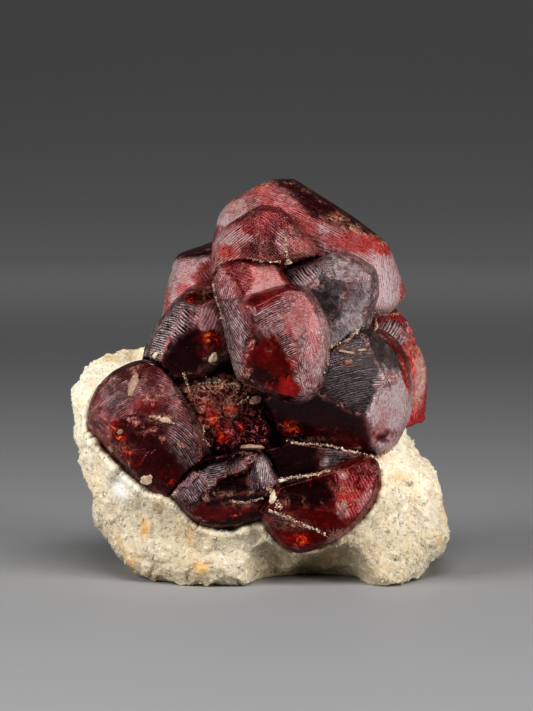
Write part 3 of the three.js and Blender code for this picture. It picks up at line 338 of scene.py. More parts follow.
def layout_point(u, v, w):
    """A point given on the drawn layout, at depth w towards the camera."""
    k = (DIST - w) / DIST
    return TARGET + RIGHT * (u - 266.5) * S * k - UPC * (v - 355.5) * S * k + TOW * w


def seen_at(P):
    """Layout place of points, and their depth."""
    q = np.atleast_2d(P) - TARGET
    w = q @ TOW
    k = DIST / (DIST - w)
    return 266.5 + (q @ RIGHT) * k / S, 355.5 - (q @ UPC) * k / S, w


# ---------------------------------------------------------------- noise
def _hash(ix, iy, iz, seed):
    h = (ix.astype(np.int64) * 73856093) ^ (iy.astype(np.int64) * 19349663) ^ (iz.astype(np.int64) * 83492791) ^ (seed * 2654435761)
    h = (h ^ (h >> 13)) * 1274126177
    h = h ^ (h >> 16)
    return (h & 0xFFFFFF) / float(0xFFFFFF)


def noise(P, scale, seed=1):
    """Smooth value noise from -1 to 1 with cells of the given size."""
    q = np.asarray(P) / scale + 17.3 * (seed % 13) + 0.37
    i = np.floor(q).astype(np.int64)
    f = q - i
    u = f * f * f * (f * (f * 6 - 15) + 10)
    r = 0.0
    for a in (0, 1):
        for b in (0, 1):
            for c in (0, 1):
                wt = (u[:, 0] if a else 1 - u[:, 0]) * (u[:, 1] if b else 1 - u[:, 1]) * (u[:, 2] if c else 1 - u[:, 2])
                r = r + wt * _hash(i[:, 0] + a, i[:, 1] + b, i[:, 2] + c, seed)
    return 2 * r - 1


def fbm(P, scale, seed=1, octaves=3, gain=0.5):
    r, a = 0.0, 1.0
    for o in range(octaves):
        r = r + a * noise(P, scale / 2 ** o, seed + o * 7)
        a *= gain
    return r


def worley(P, scale, seed=1):
    """Distance to the nearest and second nearest cell point, and a random number for the nearest cell."""
    q = np.asarray(P) / scale
    i = np.floor(q).astype(np.int64)
    f1 = np.full(len(q), 9.0); f2 = np.full(len(q), 9.0); idn = np.zeros(len(q))
    for a in (-1, 0, 1):
        for b in (-1, 0, 1):
            for c in (-1, 0, 1):
                x, y, z = i[:, 0] + a, i[:, 1] + b, i[:, 2] + c
                px = x + _hash(x, y, z, seed); py = y + _hash(x, y, z, seed + 1); pz = z + _hash(x, y, z, seed + 2)
                d = np.sqrt((q[:, 0] - px) ** 2 + (q[:, 1] - py) ** 2 + (q[:, 2] - pz) ** 2)
                near = d < f1
                f2 = np.where(near, f1, np.minimum(f2, d))
                idn = np.where(near, _hash(x, y, z, seed + 3), idn)
                f1 = np.where(near, d, f1)
    return f1, f2, idn


def smooth(t):
    t = np.clip(t, 0, 1)
    return t * t * (3 - 2 * t)


# ---------------------------------------------------------------- convex crystals
def hull_planes(points):
    bm = bmesh.new()
    for p in points:
        bm.verts.new(p)
    bmesh.ops.convex_hull(bm, input=bm.verts)
    bm.normal_update()
    mid = points.mean(0)
    rows = []
    for f in bm.faces:
        n = np.array(f.normal); p = np.array(f.verts[0].co)
        if f.calc_area() < 1e-3:
            continue
        if n @ (p - mid) < 0:
            n = -n
        d = n @ p
        if not any(n @ r[0] > 0.9998 and abs(d - r[1]) < 0.03 for r in rows):
            rows.append((n, d))
    bm.free()
    return np.array([r[0] for r in rows]), np.array([r[1] for r in rows])


PLANES = {k: hull_planes(CORNERS[k]) for k in ORDER}


def inside_depth(P, k, grow=0.0):
    """How deep points are inside a crystal grown by a step; negative outside."""
    N, D = PLANES[k]
    return (D[None, :] + grow - P @ N.T).min(1)


def centre_of(k):
    """A point well inside the crystal and clear of the ones that cut it."""
    c = CORNERS[k]
    lo, hi = c.min(0), c.max(0)
    r = np.random.RandomState(3)
    P = lo + (hi - lo) * r.rand(4000, 3)
    d = inside_depth(P, k)
    for o in ORDER[:ORDER.index(k)]:
        if NODE_OF[o] != NODE_OF[k]:
            d = np.minimum(d, -inside_depth(P, o, SEAM))
    return P[d.argmax()], d.max()


def sphere(sub, k=0.4):
    bm = bmesh.new()
    bmesh.ops.create_icosphere(bm, subdivisions=sub, radius=1.0)
    V = np.array([v.co[:] for v in bm.verts])
    F = np.array([[v.index for v in f.verts] for f in bm.faces])
    bm.free()
    V = V + k * TOW
    return V / np.linalg.norm(V, axis=1)[:, None], F


SPHERES = {}


def new_mesh(name, V, F, attrs=None, smooth_shade=True):
    me = bpy.data.meshes.new(name)
    me.vertices.add(len(V)); me.vertices.foreach_set("co", (np.asarray(V) * 0.001).astype(np.float32).ravel())
    F = np.asarray(F)
    me.loops.add(F.size); me.loops.foreach_set("vertex_index", F.astype(np.int32).ravel())
    me.polygons.add(len(F))
    me.polygons.foreach_set("loop_start", np.arange(0, F.size, F.shape[1], dtype=np.int32))
    me.polygons.foreach_set("loop_total", np.full(len(F), F.shape[1], dtype=np.int32))
    me.polygons.foreach_set("use_smooth", np.full(len(F), smooth_shade, dtype=bool))
    me.update(calc_edges=True)
    me.validate()
    for a, vals in (attrs or {}).items():
        at = me.attributes.new(a, "FLOAT", "POINT")
        at.data.foreach_set("value", np.asarray(vals, dtype=np.float32))
    ob = bpy.data.objects.new(name, me)
    bpy.context.scene.collection.objects.link(ob)
    return ob


# painted warm glints: light coming back out of the crystals, painted into the colour: layout place, spread, strength
GLINTS = [
    (209, 337, 8, 6, 1.35), (207, 324, 8, 8, 0.6), (216, 342, 5, 4, 1.0), (190, 300, 6, 3, 0.7),
    (293, 363, 6, 9, 0.75), (275, 385, 12, 9, 0.5), (285, 378, 10, 8, 0.5), (266, 355, 12, 10, 0.22),
    (291, 429, 12, 8, 0.95), (283, 432, 8, 6, 0.6), (348, 363, 6, 4, 0.7), (330, 430, 24, 5, 0.30), (355, 440, 12, 4, 0.25),
    (215, 420, 9, 9, 0.85), (230, 410, 8, 8, 0.85), (222, 435, 10, 6, 0.7), (205, 400, 8, 8, 0.45), (240, 425, 6, 6, 0.55), (226, 425, 14, 14, 0.4),
    (113, 428, 7, 6, 1.1), (119, 437, 8, 6, 1.0), (106, 420, 5, 5, 0.7), (125, 452, 9, 8, 0.75), (90, 430, 6, 4, 0.4), (134, 462, 9, 6, 0.35), (172, 482, 9, 5, 0.5),
    (235, 515, 9, 4, 0.7), (215, 518, 8, 4, 0.3), (203, 505, 6, 5, 0.3), (246, 508, 6, 4, 0.5),
    (322, 518, 10, 7, 0.30), (300, 540, 12, 7, 0.85), (270, 522, 6, 5, 0.55), (345, 495, 5, 8, 0.6), (328, 547, 5, 3, 0.8), (352, 502, 8, 6, 0.4),
    (362, 488, 12, 10, 0.38), (350, 480, 10, 6, 0.35),
    (259, 188, 12, 6, 1.0), (250, 184, 6, 3, 0.9), (231, 204, 8, 4, 1.0), (244, 196, 7, 4, 0.7), (340, 238, 10, 4, 0.8), (376, 243, 12, 4, 0.9), (388, 250, 6, 5, 0.9), (322, 232, 10, 6, 0.5), (282, 214, 3, 2, 0.9), (256, 262, 8, 3, 0.8), (268, 268, 10, 6, 0.4), (303, 318, 10, 12, 0.25), (337, 215, 6, 5, 0.5),
    (415, 365, 7, 22, 0.85), (418, 345, 6, 10, 0.75), (420, 390, 5, 9, 0.7), (402, 285, 3, 14, 0.6), (410, 330, 6, 8, 0.5),
    (172, 292, 4, 6, 0.65), (195, 285, 12, 6, 0.45), (222, 252, 10, 7, 0.45), (325, 235, 14, 8, 0.35),
]
# pale healed cracks and chipped places: layout place, spread, strength
FLAWS = [
    (337, 218, 9, 4, 1.1), (351, 227, 9, 3.5, 1.1), (364, 235, 9, 3, 1.1), (384, 244, 7, 3, 1.1), (375, 236, 6, 2.5, 0.9), (325, 228, 8, 3, 0.35), (266, 183, 9, 3, 0.8), (234, 205, 8, 4, 0.6), (394, 256, 3, 9, 1.0), (315, 189, 8, 2, 0.5), (355, 212, 12, 1.5, 0.4), (375, 228, 12, 1.5, 0.5),
    (228, 252, 12, 8, 0.3), (266, 276, 14, 12, 0.35), (300, 250, 8, 8, 0.3),
    (345, 350, 14, 3, 0.6), (356, 352, 14, 3, 0.5), (388, 350, 3, 20, 0.15), (421, 366, 5, 22, 1.2), (418, 396, 4, 12, 1.1), (414, 350, 5, 7, 0.9),
    (345, 489, 9, 5, 0.7), (356, 500, 8, 4, 0.6), (335, 533, 9, 4, 0.6), (295, 525, 14, 4, 0.7), (285, 516, 10, 4, 0.5), (240, 505, 16, 4, 0.5),
    (335, 470, 10, 3, 0.4), (364, 476, 3, 5, 0.3), (162, 418, 14, 4, 0.7), (120, 448, 12, 6, 0.45), (150, 395, 10, 8, 0.2), (215, 386, 26, 9, 1.0), (200, 400, 10, 14, 0.7), (205, 428, 8, 12, 0.6), (232, 400, 12, 8, 0.7), (222, 412, 14, 10, 0.35),
    (238, 395, 8, 8, 0.4), (408, 341, 5, 4, 0.6), (396, 330, 5, 5, 0.3), (255, 186, 10, 5, 0.4), (300, 225, 12, 6, 0.3), (205, 292, 8, 12, 0.3), (312, 440, 22, 3, 0.4), (185, 278, 6, 4, 0.3),
]
# Tones inside the faces, with their painted sheen and painted red glow and shade, as (u, v, half width, half height,
# turn, frost and painted sheen, depth of red and painted light, pink, amp); None leaves a value as it is.
WASH = {
    "crown": [
        (382, 275, 30, 42, 0, 1.0, 0.25, 0.05, 0.45), (404, 292, 4, 20, 8, 0.8, 0.25, 0.8, 0.4), (318, 226, 30, 9, 29, 0.66, 0.24, 0.75, 1.1), (290, 222, 12, 7, 30, 0.15, 0.42, 1.0, 0.8),
        (324, 230, 7, 5, 20, 0.9, 0.4, 0.0, 0.8), (228, 212, 17, 20, -45, 1.0, 0.25, 0.05, 0.4), (276, 199, 24, 9, 15, 0.72, 0.20, 0.70, 0.8),
        (331, 208, 66, 13, 29, 0.02, 0.68, 0.7, 1.2), (372, 243, 22, 6, 30, 0.35, 0.12, 1.0, 0.5), (222, 248, 11, 13, 0, 0.55, 0.12, 1.0, 0.9),
        (345, 243, 18, 6, 20, 0.45, 0.18, 1.0, 0.8), (240, 205, 10, 7, -40, 0.9, 0.2, 0.35, 0.4),
    ],
    "crown_front": [
        (260, 235, 60, 40, 0, 0.14, 0.42, 0.80, 1.5), (224, 248, 16, 15, 0, 0.72, 0.14, 0.65, 1.6), (264, 243, 22, 13, 0, 0.09, 0.55, 0.45, 2.4), (237, 236, 24, 11, -22, 1.0, 0.15, 0.20, 2.6),
        (276, 214, 22, 9, 26, 0.06, 0.24, 1.0, 0.6), (256, 224, 12, 6, -20, 0.25, 0.28, 1.0, 1.0), (226, 250, 8, 7, 20, 0.04, 0.20, 1.0, 0.8), (249, 228, 8, 6, 30, 0.06, 0.32, 1.0, 0.8),
        (282, 242, 8, 12, 0, 0.50, 0.45, 0.25, 1.0), (306, 243, 18, 8, -12, 0.62, 0.20, 0.95, 0.6), (298, 228, 14, 9, 30, 0.22, 0.5, 0.6, 1.0), (290, 220, 12, 7, 30, 0.06, 0.42, 1.0, 0.8),
    ],
    "centre_top": [
        (228, 284, 14, 18, 0, 0.62, 0.36, 0.30, 1.3), (242, 270, 18, 14, 20, 0.03, 0.42, 1.0, 1.2), (268, 275, 19, 11, 12, 1.0, 0.08, 0.62, 0.35),
        (284, 276, 4, 12, -30, 0.10, 0.30, 1.0, 0.6), (258, 263, 18, 3, -4, 0.15, 0.36, 1.0, 0.6), (241, 284, 9, 16, 10, 0.06, 0.42, 1.0, 1.0),
    ],
    "centre": [
        (240, 300, 20, 14, -25, 0.46, 0.38, 0.4, 1.2), (240, 338, 12, 14, -10, 0.34, 0.66, 0.0, 2.2), (275, 318, 28, 20, -10, 0.50, 0.55, 0.10, 1.1), (320, 340, 11, 34, 8, 0.84, 0.38, 0.30, 0.5), (305, 382, 12, 20, 20, 0.72, 0.45, 0.15, 1.2),
        (300, 320, 18, 20, 10, 0.90, 0.25, 0.70, 0.35), (230, 318, 15, 26, -8, 0.46, 0.60, 0.05, 2.0), (250, 322, 5, 20, -12, 0.12, 0.60, 0.6, 0.8), (266, 297, 27, 8, -26, 0.03, 0.36, 1.0, 0.5),
        (255, 352, 8, 20, -10, 0.03, 0.72, 1.0, 0.5), (268, 360, 22, 26, 20, 0.02, 0.44, 1.0, 0.3), (268, 350, 12, 11, 30, 0.0, 0.42, 1.0, 0.2), (287, 387, 12, 8, 30, 0.0, 0.24, 1.0, 0.2), (260, 378, 18, 7, 10, 0.04, 0.88, 1.0, 0.3),
        (291, 352, 6, 26, -32, 0.34, 0.55, 0.3, 2.2), (234, 365, 7, 18, -18, 0.60, 0.65, 0.0, 2.4), (305, 340, 6, 6, 0, 0.6, 0.5, 0.0, 0.4),
    ],
    "upper_right": [
        (345, 295, 40, 50, 0, 0.42, 0.84, 0.10, 0.30), (302, 271, 17, 11, 10, 1.0, 0.45, 0.15, 1.8), (327, 300, 12, 22, -18, 0.20, 0.96, 0.0, 0.25), (332, 282, 14, 12, 10, 0.22, 0.95, 0.0, 0.25),
        (360, 316, 14, 22, 20, 0.42, 0.86, 0.05, 0.3), (350, 266, 30, 12, 18, 0.68, 0.72, 0.30, 0.4), (346, 330, 24, 12, -28, 0.72, 0.85, 0.0, 0.3), (320, 262, 12, 8, 0, 0.40, 0.8, 0.2, 0.5),
    ],
    "right": [
        (368, 348, 30, 32, 0, 0.11, 1.0, 0.0, 0.9), (350, 385, 34, 26, 0, 0.07, 1.0, 0.0, 1.1), (392, 412, 20, 38, 12, 1.0, 0.15, -0.45, 0.35), (386, 380, 14, 8, -30, 0.65, 0.5, 0.3, 1.2), (405, 372, 4, 20, -16, 0.10, 0.20, 1.0, 0.5),
        (392, 342, 3, 16, -38, 0.05, 0.42, 1.0, 0.4), (330, 430, 52, 15, 4, 0.0, 0.70, 1.0, 0.10), (332, 441, 30, 8, 4, 0.0, 0.62, 1.0, 0.10), (362, 438, 9, 7, 20, 0.0, 0.6, 1.0, 0.1), (288, 422, 20, 16, 0, 0.0, 0.70, 1.0, 0.2), (340, 358, 10, 8, 0, 0.16, 0.9, 0.3, 0.8),
        (345, 345, 12, 4, -18, 0.30, 0.8, 0.0, 1.2),
    ],
    "right_back": [
        (410, 370, 16, 60, 0, 0.25, 0.16, 1.0, 0.5), (420, 374, 7, 30, 5, 1.0, 0.03, 0.40, 0.35), (392, 328, 17, 11, 10, 0.80, 0.85, 0.05, 1.5), (400, 338, 8, 8, 0, 0.75, 0.6, 0.3, 1.2), (404, 352, 5, 9, 0, 0.1, 0.22, 1.0, 0.5), (380, 312, 10, 4, 0, 0.0, 0.6, 1.0, 0.4),
        (412, 326, 5, 12, 0, 0.7, 0.4, 0.5, 1.0),
    ],
    "left_back": [
        (184, 272, 22, 22, 0, 1.0, 0.35, 0.05, 0.35), (193, 252, 24, 5, -14, 0.02, 0.78, 0.6, 0.4), (203, 277, 12, 11, -20, 0.45, 0.14, 1.0, 1.2), (165, 302, 6, 14, 15, 0.9, 0.15, 0.9, 0.3), (183, 290, 10, 6, -30, 0.8, 0.15, 0.9, 0.5),
    ],
    "left_upper": [
        (172, 328, 16, 32, 33, 0.52, 0.78, 0.05, 2.4), (197, 318, 12, 8, -20, 0.42, 0.52, 0.35, 0.9), (196, 293, 18, 10, 0, 0.0, 0.60, 1.0, 0.2), (186, 352, 17, 20, 10, 0.0, 0.86, 1.0, 0.1), (208, 340, 12, 16, 0, 0.0, 0.45, 1.0, 0.3),
        (210, 319, 12, 10, 0, 1.0, 0.12, 0.45, 0.6), (215, 359, 5, 6, 20, 0.62, 0.5, 0.2, 1.4), (160, 345, 5, 8, 30, 0.6, 0.7, 0.0, 1.5),
    ],
    "left": [
        (140, 430, 70, 70, 0, 0.06, 0.74, 0.3, 1.0), (118, 396, 32, 22, -15, 0.40, 0.60, 0.25, 1.3), (102, 426, 12, 28, -12, 0.50, 0.40, 0.6, 1.5), (140, 370, 24, 8, -8, 0.12, 0.62, 0.6, 1.2), (152, 385, 9, 12, 0, 0.14, 0.6, 0.8, 0.8), (167, 386, 7, 18, -18, 0.42, 0.50, 0.55, 0.8), (150, 412, 20, 5, 12, 0.10, 0.65, 0.3, 0.8),
        (150, 452, 34, 18, 22, 0.0, 0.74, 1.0, 0.15), (134, 462, 9, 9, 0, 0.0, 0.52, 1.0, 0.2), (172, 476, 14, 7, 20, 0.0, 0.56, 1.0, 0.2), (118, 432, 11, 13, 0, 0.03, 0.42, 1.0, 0.3), (140, 422, 14, 8, 0, 0.02, 0.62, 0.8, 0.3), (140, 454, 9, 7, 10, 0.0, 0.66, 1.0, 0.1), (105, 432, 6, 10, -8, 0.62, 0.25, 0.7, 0.8), (184, 445, 14, 20, -25, 0.28, 0.80, 0.0, 1.6),
        (176, 400, 8, 14, 0, 0.34, 0.65, 0.1, 0.9), (145, 405, 14, 8, 0, 0.05, 0.40, 1.0, 0.4),
    ],
    "lower_middle": [
        (232, 476, 60, 60, 0, 0.0, 0.97, 0.4, 0.06), (230, 489, 26, 13, 0, 0.0, 0.88, 1.0, 0.1), (264, 474, 8, 16, -12, 0.86, 0.92, 0.0, 1.2), (254, 482, 6, 10, 0, 0.16, 0.96, 0.0, 1.4), (207, 481, 18, 8, -38, 0.36, 0.88, 0.0, 2.8), (226, 512, 34, 9, -6, 0.0, 0.46, 1.0, 0.3),
        (190, 495, 10, 6, 30, 0.34, 0.7, 0.2, 2.6),
    ],
    "lower_bar": [
        (296, 458, 28, 13, 0, 0.0, 0.95, 0.5, 0.1), (336, 459, 12, 8, -10, 0.22, 0.88, 0.0, 1.1), (356, 455, 12, 6, 10, 0.22, 0.65, 0.5, 1.2), (325, 462, 5, 5, 0, 0.7, 0.7, 0.0, 0.6),
    ],
    "lower_right": [
        (330, 500, 60, 60, 0, 0.04, 0.56, 1.0, 0.5), (304, 494, 26, 18, 10, 0.0, 0.96, 1.0, 0.15), (322, 517, 13, 9, 20, 0.0, 0.46, 1.0, 0.15), (358, 482, 20, 16, 20, 0.0, 0.50, 1.0, 0.25), (345, 476, 5, 4, 0, 0.8, 0.5, 0.0, 0.5), (343, 509, 7, 9, 0, 0.75, 0.45, 0.1, 0.6),
        (366, 498, 4, 16, 24, 0.65, 0.4, 0.2, 0.6), (300, 541, 24, 9, 10, 0.0, 0.40, 1.0, 0.3), (274, 521, 13, 9, 0, 0.20, 0.82, 0.5, 0.8), (338, 537, 18, 4, -32, 0.6, 0.45, 0.3, 0.6), (348, 495, 10, 8, 0, 0.1, 0.30, 1.0, 0.6),
    ],
    "core": [
        (250, 400, 14, 14, 0, 0.55, 0.85, 0.0, 1.4), (235, 412, 9, 9, 0, 0.0, 0.8, 1.0, 0.5), (222, 425, 60, 50, 0, 0.03, 0.78, 1.0, 0.8), (210, 420, 10, 9, 0, 0.0, 0.26, 1.0, 0.5), (228, 427, 9, 6, 0, 0.0, 0.66, 1.0, 0.4), (224, 439, 8, 5, 0, 0.0, 0.28, 1.0, 0.5), (204, 414, 8, 8, 0, 0.16, 0.14, 0.9, 1.0), (248, 430, 12, 10, 0, 0.05, 0.85, 1.0, 0.5),
    ],
}
# how rounded a crystal's edges and faces are (0.24 is crisp), and how far its faces' tones run together (50 is crisp)
ROUND = {"upper_right": (0.50, 20.0), "left": (0.46, 24.0), "lower_middle": (0.34, 36.0), "right": (0.30, 36.0), "centre": (0.34, 40.0), "left_upper": (0.36, 36.0)}


def reach_of(k):
    """The crystal's planes, with the flanks that run in under a nearer crystal let out, so the two grow into each other."""
    N, D = PLANES[k]
    D = D + 0.32
    if k == "crown":                         # the long upper face swells a little
        D = D + 0.45 * (N @ FACETS[k][0][1] > 0.98)
    C = CORNERS[k]
    D0 = PLANES[k][1]
    for i in range(len(N)):
        t = N[i] @ TOW
        if t > 0.5 or t < -0.5:
            continue
        on = np.abs(C @ N[i] - D0[i]) < 0.05
        if not on.any():
            continue
        m = C[on].mean(0) + N[i] * 0.3
        for o in ORDER:
            if NODE_OF[o] == NODE_OF[k]:
                continue
            g = 2.6 if ORDER.index(o) < ORDER.index(k) else 0.4
            if inside_depth(m[None], o, g)[0] > 0:
                D[i] += 2.0 if ORDER.index(o) < ORDER.index(k) else 0.5
                break
    return N, D


def tuck_under(P, k, margin=0.4):
    """Where the crystal would stand out through a nearer one, its skin is drawn in under that one's face."""
    for o in ORDER[:ORDER.index(k)]:
        if NODE_OF[o] == NODE_OF[k]:
            continue
        N, D = PLANES[o]
        s = N @ TOW
        gap = D[None, :] - P @ N.T
        front = np.where(s[None, :] > 1e-6, gap / np.where(s > 1e-6, s, 1)[None, :], 1e9).min(1)
        back = np.where(s[None, :] < -1e-6, gap / np.where(s < -1e-6, s, 1)[None, :], -1e9).max(1)
        flat = ((np.abs(s) <= 1e-6)[None, :] & (gap < 0)).any(1)
        hit = (back < front - 0.3) & ~flat & (front < margin)
        P = P + np.where(hit, front - margin, 0.0)[:, None] * TOW
    return P


def crystal(k, sub, soften=150.0):
    if sub not in SPHERES:
        SPHERES[sub] = sphere(sub)
    dirs, F = SPHERES[sub]
    N, D = reach_of(k)
    c, room = centre_of(k)
    Dc = D - N @ c
    ratio = np.maximum((dirs @ N.T) / Dc[None, :], 0)
    m = ratio.max(1)
    rel = ratio / m[:, None]
    w = rel ** soften
    tot = w.sum(1)
    r = 1.0 / (m * tot ** (1.0 / soften))
    dome = 1.0 / (m * (rel ** 13.0).sum(1) ** (1.0 / 13.0))
    swell, run = ROUND.get(k, (0.24, 50.0))
    r = (1 - swell) * r + swell * dome * (1 + 0.012 * (swell > 0.3))   # the faces are slightly swollen
    nb = (w / tot[:, None]) @ N
    nb /= np.linalg.norm(nb, axis=1)[:, None]
    best = rel.argmax(1)
    other = (N @ N.T) < 0.972                # faces that meet at a real edge
    two = np.where(other[best], rel, 0).max(1)
    away = (1 - two) * r                     # about how far the nearest edge is, mm
    P = c + dirs * r[:, None]
    # the border between two faces wanders a little, and their sheen runs together over it
    jit = rel * (1 + 0.010 * (2 * _hash(np.zeros(len(N), int), np.arange(len(N)), np.arange(len(N)), 5) - 1)[None, :] * noise(P, 0.9, 21)[:, None])
    best = jit.argmax(1)
    soft = rel ** run
    soft /= soft.sum(1)[:, None]
    # named faces
    named = FACETS[k]
    fid = np.full(len(N), -1)
    for j, (fn, n, d) in enumerate(named):
        dots = N @ n
        ok = [i for i in range(len(N)) if dots[i] > 0.985]
        for i in ok:
            if fid[i] < 0 or N[i] @ n > N[i] @ named[fid[i]][1]:
                fid[i] = j
    n = len(P)
    vals = np.zeros((len(N), 4))
    grow = np.zeros(n); along = np.zeros(n); pitch = np.full(n, 0.8)
    for i in range(len(N)):
        sel = best == i
        if fid[i] >= 0:
            ang, pi, am, fr, bend, dp = LINES[named[fid[i]][0]]
            rosy = ROSY.get(named[fid[i]][0], 0.1)
            nn = named[fid[i]][1]; mid0 = layout_point(*FACE_MID[named[fid[i]][0]], 0.0) if named[fid[i]][0] in FACE_MID else c
        else:
            # flanks: the lines run across, and the face takes on the tone of the one it leans from
            j = int(np.argmax([N[i] @ f[1] for f in named]))
            ang, pi, am, fr, bend, dp = LINES[named[j][0]]
            lean = N[i] @ named[j][1]
            rosy = ROSY.get(named[j][0], 0.1)
            fr = fr * max(0.6, lean); dp = min(1, dp + 0.04); bend = 0; ang = ang + 25; nn = N[i]; mid0 = c
        vals[i] = (fr, am, dp, rosy)
        if not sel.any():
            continue
        t = RIGHT * math.cos(math.radians(ang)) + UPC * math.sin(math.radians(ang))
        t = t - nn * (nn @ t)
        ln = np.linalg.norm(t)
        t = t / ln if ln > 0.05 else np.cross(nn, RIGHT)
        g = np.cross(nn, t); g /= np.linalg.norm(g)
        q = P[sel] - mid0
        a, b = q @ t, q @ g
        if bend == 0:
            s = b
        else:
            s = np.sqrt(a * a + (b + bend) ** 2) - abs(bend)
            a = np.arctan2(a, b + bend) * bend
        grow[sel] = s; along[sel] = a
        pitch[sel] = pi
    # face values: frost with its painted sheen, line height, depth of red with its painted glow and shade, rosiness
    frost_and_painted_sheen, amp, deep_and_painted_light, pink = (soft @ vals).T
    u, v, wd = seen_at(P)
    front = np.clip((nb @ TOW) * 4 + 0.6, 0, 1)
    wander = 0.34 * noise(P, 2.6, 41) + 0.22 * noise(P, 1.0, 42) + 0.10 * noise(P, 0.45, 43)
    # tone zones: painted sheen and painted red glow and shade laid over parts of the faces
    for (gu, gv, su, sv, turn, wf, wdp, wp, wa) in WASH.get(k, []):
        ca, sa = math.cos(math.radians(turn)), math.sin(math.radians(turn))
        x, y = ((u - gu) * ca + (v - gv) * sa) / su, (-(u - gu) * sa + (v - gv) * ca) / sv
        mask = smooth((1.32 - np.sqrt(x * x + y * y) - wander) / 0.62) * front
        if wf is not None:
            frost_and_painted_sheen = frost_and_painted_sheen + (wf - frost_and_painted_sheen) * mask
        if wdp is not None:
            deep_and_painted_light = deep_and_painted_light + (wdp - deep_and_painted_light) * mask
        if wp is not None:
            pink = pink + (wp - pink) * mask
        if wa is not None:
            amp = amp + (wa * 0.05 - amp) * mask
    # edges are a little blunt and chipped, faces gently uneven and stepped with growth lines
    warp = 0.30 * noise(P, 4.0, 5) + 0.10 * noise(P, 1.6, 9)
    ph = (grow + warp) / (1.6 * pitch)
    grow = grow * 0.60 / pitch
    saw = ph - np.floor(ph)
    step = np.where(saw < 0.72, saw / 0.72, (1 - saw) / 0.28) - 0.5
    patch = smooth(0.5 + 0.9 * noise(P, 5.0, 31))
    h = 0.62 * amp * step * (0.35 + 1.0 * patch) * smooth(away / 0.5)
    h += 0.11 * noise(P, 7.0, 3) + 0.05 * noise(P, 2.6, 4) + 0.012 * noise(P, 0.9, 6)
    chip = np.clip(noise(P, 1.7, 12) + 0.5 * noise(P, 0.7, 13) - 0.35, 0, 1) * np.exp(-(away / 0.55) ** 2)
    h -= 0.40 * chip
    h = extra_rough(k, P, h)
    P = P + nb * h[:, None]
    P = tuck_under(P, k)
    painted_glint = np.zeros(n)
    u, v, wd = seen_at(P)
    facing = np.clip((nb @ TOW) * 5 + 0.5, 0, 1)
    flaw = np.zeros(n)
    # painted warm glints, then pale flaws, laid on by layout place
    for (gu, gv, su, sv, st) in GLINTS:
        painted_glint = np.maximum(painted_glint, st * np.exp(-((u - gu) / su) ** 2 - ((v - gv) / sv) ** 2) * facing)
    for (gu, gv, su, sv, st) in FLAWS:
        flaw = np.maximum(flaw, st * np.exp(-((u - gu) / su) ** 2 - ((v - gv) / sv) ** 2) * facing)
    edge = np.exp(-(away / 0.30) ** 2)
    return P, F, dict(frost_and_painted_sheen=frost_and_painted_sheen, grow=grow, along=along, edge=edge, painted_glint=painted_glint, deep_and_painted_light=deep_and_painted_light, chip=np.clip(chip * 2.5, 0, 1), amp=amp / 0.06, flaw=flaw, pink=pink)


def extra_rough(k, P, h):
    if k == "core":
        f1, f2, idn = worley(P, 2.2, 40)
        h += 1.2 * (idn - 0.5) * smooth((f2 - f1) * 4) - 0.35 * (1 - smooth((f2 - f1) * 5))
        f1, f2, idn = worley(P, 1.0, 43)
        h += 0.4 * (idn - 0.5) * smooth((f2 - f1) * 5)
    if k == "right_back":
        f1, f2, idn = worley(P * np.array([1.0, 1.0, 0.55]), 2.8, 52)
        h += 1.0 * (idn - 0.5) * smooth((f2 - f1) * 8) - 0.3 * (1 - smooth((f2 - f1) * 6))
        f1, f2, idn = worley(P, 0.9, 53)
        h += 0.25 * (idn - 0.5) * smooth((f2 - f1) * 5)
    if k == "lower_right":
        f1, f2, idn = worley(P, 3.4, 44)
        u, v, w = seen_at(P)
        zone = smooth((u - 322) / 20) * smooth((545 - v) / 20)
        h += zone * (0.5 * (idn - 0.5) * smooth((f2 - f1) * 5) - 0.25 * (1 - smooth((f2 - f1) * 6)))
    if k == "left":
        f1, f2, idn = worley(P, 2.6, 48)
        u, v, w = seen_at(P)
        zone = np.exp(-((u - 122) / 26) ** 2 - ((v - 442) / 20) ** 2)
        h += zone * (0.7 * (idn - 0.5) - 0.5)
    return h


SUBS = {"crown": 7, "right": 7, "left": 7, "centre": 7, "core": 7}
GARNET_OBS = {}
for k in ORDER:
    sub = SUBS.get(k, 6)
    P, F, at = crystal(k, sub - (0))
    ob = new_mesh(k + "_garnet", P, F, at)
    GARNET_OBS[k] = ob
    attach(ob, "root")
    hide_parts(NODE_OF[k])

# ---------------------------------------------------------------- tree for placing small things on the crystals
def tree_of(obs):
    Vs, Fs, base = [], [], 0
    for ob in obs:
        me = ob.data
        V = np.empty(len(me.vertices) * 3, np.float32); me.vertices.foreach_get("co", V)
        me.calc_loop_triangles()
        T = np.empty(len(me.loop_triangles) * 3, np.int32); me.loop_triangles.foreach_get("vertices", T)
        Vs.append(V.reshape(-1, 3) * 1000); Fs.append(T.reshape(-1, 3) + base); base += len(me.vertices)
    V = np.vstack(Vs); F = np.vstack(Fs)
    return BVHTree.FromPolygons([tuple(p) for p in V.tolist()], [tuple(f) for f in F.tolist()], all_triangles=True)


garnet_tree = tree_of(GARNET_OBS.values())
EYE = TARGET + TOW * DIST


def drop_on(tree, u, v):
    """First surface point seen at a place of the layout, with its normal."""
    a = layout_point(u, v, 0.0)
    d = Vector(a - EYE).normalized()
    loc, nrm, idx, dist = tree.ray_cast(Vector(EYE), d)
    return (np.array(loc), np.array(nrm)) if loc is not None else (None, None)


